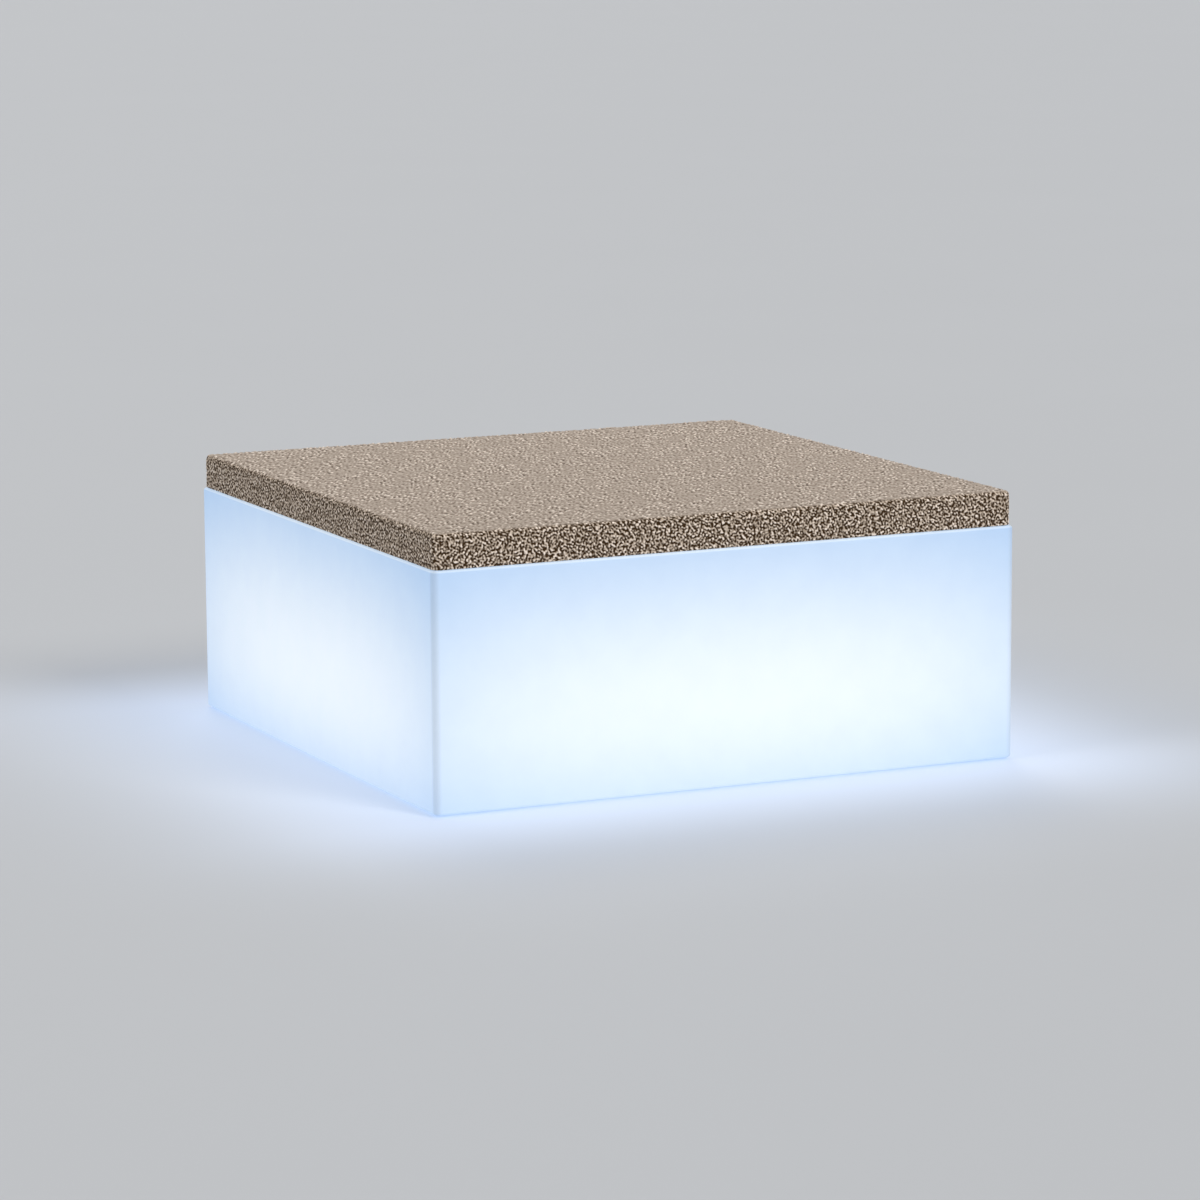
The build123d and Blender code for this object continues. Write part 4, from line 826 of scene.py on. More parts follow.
def finishes() -> dict[str, bpy.types.Material]:
    """Build every finish.

    Returns:
        The materials by the name of the record's slot.
    """
    white = srgb(236, 238, 240)
    made = [
        GlowPlastic(
            "glow_plastic",
            srgb(162, 168, 176),
            dim=(0.040, 0.224, 0.508, 1.0),
            bright=(0.600, 0.655, 0.700, 1.0),
        ),
        SoftRubber("black_rubber", srgb(30, 30, 32)),
        PlatedMetal("zinc_steel", srgb(186, 190, 196), 0.3, (1.0, 1.0, 7.0), srgb(132, 138, 148)),
        PlatedMetal("brass", srgb(201, 168, 96), 0.32, (1.0, 1.0, 7.0), srgb(142, 110, 58)),
        MouldedPlastic("grey_plastic", srgb(128, 131, 136), 0.5),
        MouldedPlastic("black_plastic", srgb(34, 35, 38), 0.42),
        PlatedMetal("cell_steel", srgb(78, 116, 150), 0.36, (1.0, 8.0, 1.0), srgb(60, 92, 124)),
        CircuitBoard("green_board", srgb(22, 74, 44), track=srgb(42, 116, 66)),
        PlatedMetal("aluminium", srgb(202, 204, 206), 0.34, (7.0, 1.0, 1.0), srgb(160, 163, 168)),
        CircuitBoard("white_board", srgb(226, 228, 226), track=srgb(242, 243, 241)),
        MouldedPlastic("chip_yellow", srgb(238, 214, 96), 0.3, light=srgb(120, 112, 70)),
        MouldedPlastic("white_plastic", white, 0.4),
        MouldedPlastic("opal_plastic", white, 0.28, 0.002, 0.00001, srgb(150, 168, 196)),
        MouldedPlastic("lead_jacket", srgb(40, 40, 44), 0.55, 0.0014),
        WovenCloth("grey_tape", srgb(112, 112, 116), srgb(54, 54, 58), 0.0014, 0.0, 0.0004),
        OpenFoam("foam", srgb(236, 226, 190)),
        BoucleCloth("boucle", srgb(200, 181, 161)),
        WovenCloth("base_cloth", srgb(74, 66, 58), srgb(38, 33, 29), 0.0012, 0.0, 0.00022),
        WovenCloth("zip_cloth", srgb(168, 150, 128), srgb(110, 96, 80), 0.0008, 0.5, 0.00014),
        MouldedPlastic("zip_plastic", srgb(204, 186, 162), 0.38, 0.0012),
        PlatedMetal("zip_metal", srgb(152, 146, 138), 0.34, (7.0, 1.0, 1.0), srgb(104, 98, 92)),
        MouldedPlastic("thread", srgb(206, 188, 164), 0.75, 0.0004, 0.00006),
    ]
    return {finish.name: finish.material() for finish in made}


def dress_nodes(materials: dict[str, bpy.types.Material]) -> None:
    """Give every node of the frame its finish.

    Args:
        materials: The materials by slot.
    """
    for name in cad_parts:
        for slot in bpy.data.objects[name].material_slots:
            slot.material = materials[slot.material.name.split(".")[0]]
    log.info("dressed %d nodes of the frame", len(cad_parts))


# Meshes


@dataclass
class MeshStock:
    """Points and faces of one piece while it is being built.

    Attributes:
        points: Places of the points.
        marks: Loops and side of each point, which the bouclé's finish reads.
        faces: Numbers of the points round each face.
        count: Number of points so far.
    """

    points: list[np.ndarray] = field(default_factory=list)
    marks: list[np.ndarray] = field(default_factory=list)
    faces: list[Sequence[int]] = field(default_factory=list)
    count: int = 0

    def add_points(
        self, points: np.ndarray, loops: Union[float, np.ndarray] = 0.0, side: float = 1.0
    ) -> np.ndarray:
        """Add points.

        Args:
            points: Their places, in the last axis.
            loops: How high the yarn stands at each, or at all.
            side: 0 on the top panel and 1 on the sides.

        Returns:
            Their numbers, in the array's own shape.
        """
        flat = points.reshape(-1, 3)
        numbers = np.arange(self.count, self.count + len(flat)).reshape(points.shape[:-1])
        level = np.broadcast_to(loops, points.shape[:-1]).ravel()
        self.points.append(flat)
        self.marks.append(np.column_stack([level, np.full(len(flat), side)]))
        self.count += len(flat)
        return numbers

    def add_sheet(self, numbers: np.ndarray, keep: Optional[np.ndarray] = None) -> None:
        """Fill a grid of points with faces, seen from the side where they turn left.

        Args:
            numbers: Numbers of the points, rows by columns.
            keep: Which faces are made, or None for all.
        """
        corners = [numbers[:-1, :-1], numbers[1:, :-1], numbers[1:, 1:], numbers[:-1, 1:]]
        faces = np.stack(corners, -1).reshape(-1, 4)
        if keep is not None:
            faces = faces[keep.ravel()]
        for face in faces.tolist():
            self.faces.append([spot for n, spot in enumerate(face) if spot != face[n - 1]])

    def add_face(self, numbers: Sequence[int]) -> None:
        """Add one face with any number of corners."""
        self.faces.append([int(number) for number in numbers])

    def piece(self, name: str, material: Optional[bpy.types.Material]) -> bpy.types.Object:
        """Make the piece.

        Args:
            name: Its name.
            material: Its finish, or None.

        Returns:
            The object, smooth and with its marks.
        """
        mesh = bpy.data.meshes.new(name)
        mesh.from_pydata(np.concatenate(self.points).tolist(), [], self.faces)
        for key, values in zip(("loops", "side"), np.concatenate(self.marks).T):
            mesh.attributes.new(key, "FLOAT", "POINT").data.foreach_set(
                "value", values.astype(np.float32)
            )
        mesh.shade_smooth()
        if material:
            mesh.materials.append(material)
        made = bpy.data.objects.new(name, mesh)
        bpy.context.collection.objects.link(made)
        return made


@dataclass
class PadPlan:
    """The pad's plan, a square with round corners, walked rightwards along the front and on round.

    Attributes:
        half: Half of its side.
        radius: Radius of its corners.
        stops: Places along the front and back where a column stands, between the corners.
        arc: Steps round a corner.
        deep: Such places along the other two sides, or None for the same.
    """

    half: float
    radius: float
    stops: np.ndarray
    arc: int
    deep: Optional[np.ndarray] = None

    def __post_init__(self) -> None:
        """Lay out the columns."""
        points, normals, along = [], [], []
        self.deep = self.stops if self.deep is None else self.deep
        flat = self.half - self.radius
        turn = [self.radius * math.pi / 2 * n / self.arc for n in range(1, self.arc)]
        quarter = 2 * flat + self.radius * math.pi / 2
        for side, (nx, ny) in enumerate([(0, -1), (1, 0), (0, 1), (-1, 0)]):
            normal, tangent = np.array([nx, ny]), np.array([-ny, nx])
            for stop in self.stops if ny else self.deep:
                points.append(self.half * normal + stop * tangent)
                normals.append(normal)
                along.append(side * quarter + stop + flat)
            for length in turn:
                angle = length / self.radius
                out = math.cos(angle) * normal + math.sin(angle) * tangent
                points.append(flat * (normal + tangent) + self.radius * out)
                normals.append(out)
                along.append(side * quarter + 2 * flat + length)
        self.points, self.normals = np.array(points, float), np.array(normals, float)
        self.along, self.length = np.array(along), 4 * quarter

    def row(self, inset: float, level: float) -> np.ndarray:
        """One row of points round the plan.

        Args:
            inset: How far inside the outline it runs.
            level: Its height.

        Returns:
            The points.
        """
        flat = self.points - self.normals * inset
        return np.column_stack([flat, np.full(len(flat), level)])

    def outward(self, angle: float) -> np.ndarray:
        """Directions that lean from upright by an angle.

        Args:
            angle: 0 is up, a quarter turn is straight out and a half turn is down.

        Returns:
            One direction for each column.
        """
        tall = np.full(len(self.normals), math.cos(angle))
        return np.column_stack([self.normals * math.sin(angle), tall])

    def square(
        self, level: float, relief: Optional[Callable[[np.ndarray, np.ndarray], np.ndarray]] = None
    ) -> np.ndarray:
        """Points of the flat square between the corners.

        Args:
            level: Its height.
            relief: How far each place stands above that, or None.

        Returns:
            The points, rows to the back by columns along the front.
        """
        x, y = np.meshgrid(self.stops, self.deep)
        rise = np.zeros(x.shape) if relief is None else relief(x, y)
        return np.stack([x, y, level + rise], -1)

    def rim_numbers(self, grid: np.ndarray) -> np.ndarray:
        """The border of the flat square as a row of the plan.

        Args:
            grid: Numbers of the square's points.

        Returns:
            The numbers, in the plan's order; a corner's steps all start at its point.
        """
        sides = [grid[0, :], grid[:, -1], grid[-1, ::-1], grid[::-1, 0]]
        return np.concatenate([np.append(side, [side[-1]] * (self.arc - 1)) for side in sides])


def span(marks: np.ndarray) -> tuple[int, int]:
    """Where a run of marks starts and ends.

    Args:
        marks: Marks with one run of true ones.

    Returns:
        The first true place and the one after the last.
    """
    places = np.flatnonzero(marks)
    return int(places[0]), int(places[-1]) + 1


def steps(*parts: tuple[float, float, float]) -> np.ndarray:
    """Places along a line in parts with their own step.

    Args:
        parts: Start, end and greatest step of each part.

    Returns:
        The places, each once.
    """
    places = [parts[0][0]]
    for start, end, step in parts:
        count = math.ceil(abs(end - start) / step - TINY)
        places.extend(np.linspace(start, end, count + 1)[1:])
    return np.array(places)


def closed(grid: np.ndarray) -> np.ndarray:
    """Repeat a grid's first column after its last, so that it closes."""
    return np.concatenate([grid, grid[:, :1]], axis=1)


def rounding(radius: float, count: int) -> list[tuple[float, float]]:
    """Points of a quarter round, from the flat of a face to the wall.

    Args:
        radius: Its radius.
        count: Number of its points.

    Returns:
        How far each point lies inside the wall, and how far it lies from the face.
    """
    angles = np.linspace(0, math.pi / 2, count)
    return [(radius * (1 - math.sin(a)), radius * (1 - math.cos(a))) for a in angles]


# Rows of small shapes


class Seam(Enum):
    """Ways to set the small shapes of a row, by how far each turns aside from the path."""

    STRAIGHT = 0.0
    ZIGZAG = math.radians(28)
    COMB = math.radians(90)


class RowTree(NodeTree):
    """Geometry nodes that set one small shape again and again along a path."""

    wobble = 0.035  # Greatest random turn of a shape, in radians

    def __init__(self, name: str, material: bpy.types.Material) -> None:
        """Build the tree.

        Args:
            name: Its name.
            material: Finish of the shapes.
        """
        super().__init__(bpy.data.node_groups.new(name, "GeometryNodeTree"))
        kinds = {
            "path": "NodeSocketGeometry",
            "shape": "NodeSocketObject",
            "pitch": "NodeSocketFloat",
            "swing": "NodeSocketFloat",
            "outward": "NodeSocketVector",
            "seed": "NodeSocketInt",
        }
        sockets = self.tree.interface
        self.keys: dict[str, str] = {}
        for key, kind in kinds.items():
            socket = sockets.new_socket(key, in_out="INPUT", socket_type=kind)
            self.keys[key] = socket.identifier
        sockets.new_socket("row", in_out="OUTPUT", socket_type="NodeSocketGeometry")
        source = self.add("NodeGroupInput")
        given = {key: self.signal(source, key) for key in kinds}
        curve = self.add("GeometryNodeMeshToCurve", None, {"Mesh": given["path"]})
        spaced = self.add(
            "GeometryNodeResampleCurve",
            {"mode": "LENGTH"},
            {"Curve": self.signal(curve), "Length": given["pitch"]},
        )
        shape = self.add("GeometryNodeObjectInfo", None, {"Object": given["shape"]})
        placed = self.add(
            "GeometryNodeInstanceOnPoints",
            None,
            {
                "Points": self.signal(spaced),
                "Instance": self.signal(shape, "Geometry"),
                "Rotation": self.turned(given["outward"], given["swing"], given["seed"]),
            },
        )
        plain = self.add("GeometryNodeRealizeInstances", None, {"Geometry": self.signal(placed)})
        dressed = self.add(
            "GeometryNodeSetMaterial", None, {"Geometry": self.signal(plain), "Material": material}
        )
        self.add("NodeGroupOutput", None, {"row": self.signal(dressed)})

    def turned(self, outward: Signal, swing: Signal, seed: Signal) -> Signal:
        """Turn each shape along the path and then aside, every second one the other way.

        Args:
            outward: Where the shapes' own Z points.
            swing: How far they turn aside.
            seed: Start of the small random turn.

        Returns:
            The rotation.
        """
        tangent = self.signal(self.add("GeometryNodeInputTangent"))
        upright = self.add("FunctionNodeAlignRotationToVector", {"axis": "Z"}, {"Vector": outward})
        along = self.add(
            "FunctionNodeAlignRotationToVector",
            {"axis": "X", "pivot_axis": "Z"},
            {"Rotation": self.signal(upright), "Vector": tangent},
        )
        index = self.signal(self.add("GeometryNodeInputIndex"))
        other = 1.0 - 2.0 * self.math("MODULO", index, 2.0)
        chance = self.add(
            "FunctionNodeRandomValue",
            {"data_type": "FLOAT"},
            {"Min_001": -self.wobble, "Max_001": self.wobble, "Seed": seed},
        )
        angle = swing * other + self.signal(chance, "Value_001")
        aside = self.add(
            "FunctionNodeAxisAngleToRotation", None, {"Axis": (0.0, 0.0, 1.0), "Angle": angle}
        )
        result = self.add(
            "FunctionNodeRotateRotation",
            {"rotation_space": "LOCAL"},
            {"Rotation": self.signal(along), "Rotate By": self.signal(aside)},
        )
        return self.signal(result)


@dataclass
class Row:
    """A row of small shapes that lie along one or more closed or open paths.

    Attributes:
        name: Name of the piece.
        sections: Place, half width, half height and level of each section of the shape.
        pitch: Distance between two shapes.
        seam: How they are set.
        outward: Direction in which they stand out.
        seed: Start of the small random turns.
        sides: Sides of the shape.
        boxy: Power of the shape's outline: 1 is an oval and less is squarer.
    """

    name: str
    sections: Sequence[tuple[float, float, float, float]]
    pitch: float
    seam: Seam
    outward: tuple[float, float, float]
    seed: int = 5
    sides: int = 8
    boxy: float = 0.6

    def shape(self) -> bpy.types.Object:
        """Loft the shape through its sections and close its two ends.

        Returns:
            The shape, along its own X.
        """
        stock = MeshStock()
        turns = np.linspace(0, 2 * math.pi, self.sides, endpoint=False) + math.pi / self.sides
        parts = (f(turns) for f in (np.cos, np.sin))
        wide, tall = (np.sign(part) * np.abs(part) ** self.boxy for part in parts)
        rings = []
        for place, half_width, half_height, level in self.sections:
            ring = [np.full(self.sides, place), half_width * wide, level + half_height * tall]
            rings.append(stock.add_points(np.column_stack(ring)))
        stock.add_sheet(closed(np.array(rings))[:, ::-1])
        stock.add_face(rings[0][::-1])
        stock.add_face(rings[-1])
        return stock.piece(self.name + "_shape", None)

    def build(self, paths: Sequence[np.ndarray], material: bpy.types.Material) -> bpy.types.Object:
        """Set the shapes along the paths and turn the result into a plain mesh.

        Args:
            paths: Corners of each path; a closed one ends where it starts.
            material: Finish of the shapes.

        Returns:
            The piece.
        """
        shape = self.shape()
        mesh = bpy.data.meshes.new(self.name)
        points, edges = [], []
        for path in paths:
            is_closed = np.allclose(path[0], path[-1])
            kept = path[:-1] if is_closed else path
            numbers = list(range(len(points), len(points) + len(kept)))
            edges += list(zip(numbers, numbers[1:] + ([numbers[0]] if is_closed else [])))
            points += [tuple(place) for place in kept]
        mesh.from_pydata(points, edges, [])
        piece = bpy.data.objects.new(self.name, mesh)
        bpy.context.collection.objects.link(piece)
        tree = RowTree(self.name, material)
        modifier = piece.modifiers.new("row", "NODES")
        modifier.node_group = tree.tree
        values = {
            "shape": shape,
            "pitch": self.pitch,
            "swing": self.seam.value,
            "outward": self.outward,
            "seed": self.seed,
        }
        for key, value in values.items():
            modifier[tree.keys[key]] = value
        shaped = piece.evaluated_get(bpy.context.evaluated_depsgraph_get())
        plain = bpy.data.meshes.new_from_object(shaped)
        piece.modifiers.clear()
        piece.data = plain
        plain.shade_smooth()
        bpy.data.objects.remove(shape)
        return piece


# Seat pad


@dataclass
class CoverSwell:
    """The pad's cover as a coarse cloth that the foam presses outwards.

    The foot and the top seam are held, as the sewn seams hold them, so the top crowns and the
    sides bulge between them. The fine pieces take their crown and their bulge from it.

    Attributes:
        half: Half of the pad's side.
        corner: Radius of its corners.
        foot_z, seam_z, top_z: Levels of the foot, the top seam and the top.
        crown: How far the middle of the top may rise.
        bulge: How far the sides may stand out.
        cell: Distance between the coarse points on the top.
        arc: Steps round a corner.
        side_rows: Rows of coarse points down the sides.
        frames: Steps of the simulation.
        pressure: Push of the foam.
    """

    half: float
    corner: float
    foot_z: float
    seam_z: float
    top_z: float
    crown: float
    bulge: float
    cell: float = 24 * MM
    arc: int = 3
    side_rows: int = 7
    frames: int = 20
    pressure: float = 4.0

    def __post_init__(self) -> None:
        flat = self.half - self.corner
        self.stops = steps((-flat, flat, self.cell))
        self.plan = PadPlan(self.half, self.corner, self.stops, self.arc)
        self.levels = np.linspace(self.seam_z, self.foot_z, self.side_rows)
        x, y = np.meshgrid(self.stops / self.half, self.stops / self.half)
        rises = (1 - x * x) * (1 - y * y)
        bulges = np.sin(np.linspace(0, math.pi, self.side_rows))
        outs = np.repeat(bulges[:, None], len(self.plan.along), 1)
        rises, outs = self.settle()
        self.rises = rises * self.crown / rises.max()
        self.outs = outs * self.bulge / outs.max()

    def settle(self) -> tuple[np.ndarray, np.ndarray]:
        """Run the cloth simulation.

        Returns:
            How far the top rises at its coarse points, and how far the sides stand out by row.
        """
        stock = MeshStock()
        upper = stock.add_points(self.plan.square(self.top_z))
        rows = np.array([stock.add_points(self.plan.row(0.0, z)) for z in self.levels])
        lower = stock.add_points(self.plan.square(self.foot_z))
        stock.add_sheet(upper[:, ::-1])
        rims = [self.plan.rim_numbers(upper), *rows, self.plan.rim_numbers(lower)]
        stock.add_sheet(closed(np.array(rims)))
        stock.add_sheet(lower)
        cloth = stock.piece("cover_cloth", None)
        held = cloth.vertex_groups.new(name="held")
        sewn = [*rows[0], *rows[-1], *lower.ravel()]
        held.add([int(number) for number in sewn], 1.0, "REPLACE")
        modifier = cloth.modifiers.new("cloth", "CLOTH")
        modifier.settings.use_pressure = True
        modifier.settings.uniform_pressure_force = self.pressure
        modifier.settings.vertex_group_mass = held.name
        modifier.settings.effector_weights.gravity = 0.0
        modifier.point_cache.frame_end = self.frames
        scene = bpy.context.scene
        for frame_number in range(1, self.frames + 1):
            scene.frame_set(frame_number)
        shaped = cloth.evaluated_get(bpy.context.evaluated_depsgraph_get()).to_mesh()
        after = np.array([point.co for point in shaped.vertices])
        scene.frame_set(1)
        bpy.data.objects.remove(cloth)
        moved = after - np.concatenate(stock.points)
        outs = (moved[rows][..., :2] * self.plan.normals).sum(-1)
        rises = moved[upper, 2]
        log.info("cloth rose %.1f mm and bulged %.1f mm", rises.max() / MM, outs.max() / MM)
        return np.maximum(rises, 0.0), np.maximum(outs, 0.0)

    def rise(self, x: np.ndarray, y: np.ndarray) -> np.ndarray:
        """Crown of the top.

        Args:
            x: Places along the front.
            y: Places to the back.

        Returns:
            How far the cloth stands up there.
        """
        last = len(self.stops) - 1
        spots = [np.interp(value, self.stops, np.arange(last + 1)) for value in (y, x)]
        (row, column) = (np.minimum(spot.astype(int), last - 1) for spot in spots)
        down, right = spots[0] - row, spots[1] - column
        near = self.rises[row, column] * (1 - right) + self.rises[row, column + 1] * right
        far = self.rises[row + 1, column] * (1 - right) + self.rises[row + 1, column + 1] * right
        return near * (1 - down) + far * down

    def out(self, along: np.ndarray, level: float) -> np.ndarray:
        """Bulge of the sides.

        Args:
            along: Places round the pad.
            level: Their height.

        Returns:
            How far the cloth stands out there.
        """
        plan = self.plan
        rows = [np.interp(along, plan.along, row, period=plan.length) for row in self.outs]
        place = float(np.interp(-level, -self.levels, np.arange(len(self.levels))))
        first = min(int(place), len(self.levels) - 2)
        return rows[first] * (first + 1 - place) + rows[first + 1] * (place - first)


@dataclass
class SeatPad:
    """Foam slab in its sewn cover, with the zip's window in the back.

    Attributes:
        materials: The finishes by slot.
        cloth: Thickness of the cloth.
        corner: Radius of the upright corners.
        edge: Radius of the top edge.
        foot: Radius of the foot edge.
        foot_turn: How far the band is turned under the foot.
        top_step: Distance of the points on the top panel, along the front.
        deep_step: Distance of the points on the top panel, to the back.
        band_step: Distance of the points on the band.
        band_relief: Height of the loops on the sides.
        top_relief: Height of the loops on top.
        crown: How much higher the middle of the top stands than its edges.
        bulge: How far the sides stand out between their seams.
        zip_lip: Thickness of the turned edges of the window.
        seam_dip: How deep the cloth is drawn in at a seam.
        turn: Where on the edge the top's loops start and end to give way to those of the sides.
        pile: How far the top's loops lean from straight to the back.
        rim_steps: Distances of the rows inside the edge, round it and below it.
        coarse_step: Distance of the points on the base panel and the foam.
        side_range, top_range: Levels of the yarn at the foot and the head of the relief.
        side_middle, top_middle: Share of the relief that lies below the cloth's own face.
        zip_hold: Distances past the zip's window up to which its tape holds the back flat, and
            from which the bulge is whole.
        lip_reach: Distances from the window where the loops are pressed flat and where not.
        lip_dip: How far the cloth is drawn in there.
        foot_dip: How far the cloth under the foot stands back from the body.
        lip_turn: Depths at which the window's turned edge is cut into sections, each with the
            share of its thickness that it has there.
        foot_angles: Outward angles between which the foot comes to be pressed flat.
        foot_flat: Share of the relief that is pressed flat under the foot.
        seam_calm: Share of the relief that is left at a seam.
        seam_lap: How far above the seam the top panel's lining ends.
        play: Room between the turned foot and the base panel.
        foam_ease: Room between the cloth and the foam.
        sag: Height of the base cloth's waves.
    """

    materials: dict[str, bpy.types.Material]
    cloth: float = 2.0 * MM
    corner: float = 12.0 * MM
    edge: float = 8.0 * MM
    foot: float = 2.5 * MM
    foot_turn: float = 12.0 * MM
    top_step: float = 1.6 * MM
    deep_step: float = 2.8 * MM
    band_step: float = 1.25 * MM
    band_relief: float = 1.3 * MM
    top_relief: float = 2.2 * MM
    crown: float = 2.4 * MM
    bulge: float = 0.7 * MM
    zip_lip: float = 0.8 * MM
    seam_dip: float = 0.35 * MM
    turn: tuple[float, float] = (1.4 * MM, 6.0 * MM)
    pile: float = math.radians(32)
    rim_steps: tuple[float, float, float] = (2.0 * MM, 1.25 * MM, 1.0 * MM)
    coarse_step: float = 12 * MM
    side_range: tuple[float, float] = (-1.0, 1.6)
    side_middle: float = 0.5
    top_range: tuple[float, float] = (-1.8, 2.4)
    top_middle: float = 0.45
    zip_hold: tuple[float, float] = (34 * MM, 64 * MM)
    lip_reach: tuple[float, float] = (0.8 * MM, 4.5 * MM)
    lip_dip: float = 0.25 * MM
    foot_dip: float = 0.4 * MM
    lip_turn: tuple[tuple[float, float], ...] = ((0.6 * MM, 0.5), (1.6 * MM, 1.0))
    foot_angles: tuple[float, float] = (math.pi / 2, math.pi * 0.9)
    foot_flat: float = 0.7
    seam_calm: float = 0.3
    seam_lap: float = 0.1 * MM
    play: float = 0.2 * MM
    foam_ease: float = 0.15 * MM
    sag: float = 0.25 * MM

    def __post_init__(self) -> None:
        """Take the pad's place from the frame."""
        low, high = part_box("cover_top")
        self.half, self.top_z, self.seam_z = high.x, high.z, low.z
        self.foot_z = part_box("cover_base")[0].z
        low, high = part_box("zip_tape")
        self.zip_z, self.zip_tall = (low.z + high.z) / 2, (high.z - low.z) / 2
        self.zip_half, self.tape_face, self.groove = high.x, high.y, low.y
        self.flat = self.half - self.corner
        self.arc_length = self.edge * math.pi / 2
        self.rim_length = self.arc_length + self.top_z - self.edge - self.seam_z
        around = 8 * self.flat + 2 * math.pi * self.corner
        self.swell = CoverSwell(
            self.half, self.corner, self.foot_z, self.seam_z, self.top_z, self.crown, self.bulge
        )
        self.side_loops = LoopField(
            size=(around, 90 * MM), pitch=5.1 * MM, spread=0.34, seed=11, nubs=0.6, calm=0.2
        )
        self.top_loops = LoopField(
            size=(1.5, 1.5),
            pitch=5.8 * MM,
            spread=0.42,
            seed=23,
            stretch=4.0,
            nubs=0.2,
            calm=0.35,
            lean=self.pile,
        )

    def side_height(self, loops: np.ndarray) -> np.ndarray:
        """How far the cloth stands out on the sides, from how high the yarn stands."""
        return self.band_relief * (eased(loops, *self.side_range) - self.side_middle)

    def top_height(self, loops: np.ndarray) -> np.ndarray:
        """How far the cloth stands up on top, from how high the yarn stands."""
        return self.top_relief * (eased(loops, *self.top_range) - self.top_middle)

    def front_stops(self, flat: float, step: float) -> np.ndarray:
        """Places of the columns along front and back, with one at each end of the zip's window.

        Args:
            flat: Where the first and the last column stand.
            step: Greatest distance between two.

        Returns:
            The places.
        """
        ends = (-flat, -self.zip_half, self.zip_half, flat)
        return steps(*((start, end, step) for start, end in zip(ends, ends[1:])))

    def window_columns(self, plan: PadPlan) -> np.ndarray:
        """Which columns of faces the zip's window takes out.

        Args:
            plan: The plan that the columns follow.

        Returns:
            A mark for each column of faces.
        """
        inside = np.abs(plan.points[:, 0]) <= self.zip_half + TINY
        back = (plan.normals[:, 1] > FACING) & inside
        return np.append(back[:-1] & back[1:], False)

    def build_top(self) -> bpy.types.Object:
        """Top panel: the flat cloth, its rounded edge down to the seam, and its underside.

        Returns:
            The piece.
        """
        stock = MeshStock()
        stops = steps((-self.flat, self.flat, self.top_step))
        deep = steps((-self.flat, self.flat, self.deep_step))
        plan = PadPlan(self.half, self.corner, stops, arc=8, deep=deep)
        square = plan.square(self.top_z)
        loops = self.top_loops.heights(square[..., 0], square[..., 1])
        square[..., 2] += self.top_height(loops) + self.swell.rise(square[..., 0], square[..., 1])
        grid = stock.add_points(square, loops, 0.0)
        stock.add_sheet(grid[:, ::-1])
        rows = [plan.rim_numbers(grid)]
        ends = (self.edge - self.corner, 0.0, self.arc_length, self.rim_length)
        downs = steps(*zip(ends, ends[1:], self.rim_steps))
        for down in downs[1:]:
            angle = min(max(down, 0.0) / self.edge, math.pi / 2)
            below = max(0.0, down - self.arc_length)
            level = self.top_z - self.edge * (1 - math.cos(angle)) - below
            base = plan.row(self.edge * (1 - math.sin(angle)) - min(down, 0.0), level)
            x, y = base[:, 0], base[:, 1]
            side = float(eased(np.array(down), *self.turn))
            above, beside = self.top_loops.heights(x, y), self.side_loops.heights(plan.along, down)
            height = self.side_height(beside) * side
            height = height + (self.top_height(above) + self.swell.rise(x, y)) * (1 - side)
            if down == downs[-1]:
                height = height * self.seam_calm - self.seam_dip
            points = base + plan.outward(angle) * height[:, None]
            rows.append(stock.add_points(points, above * (1 - side) + beside * side, side))
        stock.add_sheet(closed(np.array(rows)))
        inner = [
            (self.cloth, self.seam_z + self.seam_lap),
            (self.cloth, self.top_z - self.edge),
            (self.edge, self.top_z - self.cloth),
        ]
        lining = [rows[-1]] + [stock.add_points(plan.row(inset, z)) for inset, z in inner]
        stock.add_sheet(closed(np.array(lining)))
        stock.add_face(lining[-1][::-1])
        return stock.piece("boucle_top", self.materials["boucle"])

    def band_rows(self) -> list[tuple[float, float, float, float]]:
        """Profile of the band from the seam down and round the foot.

        Returns:
            For each row its inset, its height, its outward angle and its place down the map.
        """
        above, below = self.zip_z + self.zip_tall, self.zip_z - self.zip_tall
        wall_foot = self.foot_z + self.foot
        levels = steps(
            (self.seam_z, above, self.band_step),
            (above, below, self.band_step),
            (below, wall_foot, self.band_step),
        )
        rows = [(0.0, z, math.pi / 2, self.rim_length + self.seam_z - z) for z in levels]
        start = self.rim_length + self.seam_z - wall_foot
        for angle in np.linspace(0, math.pi / 2, 5)[1:]:
            inset, rise = self.foot * (1 - math.cos(angle)), self.foot * (1 - math.sin(angle))
            rows.append((inset, self.foot_z + rise, math.pi / 2 + angle, start + self.foot * angle))
        start += self.foot * math.pi / 2
        for inset in steps((self.foot, self.foot_turn - self.play, 2 * MM))[1:]:
            rows.append((inset, self.foot_z, math.pi, start + inset - self.foot))
        return rows

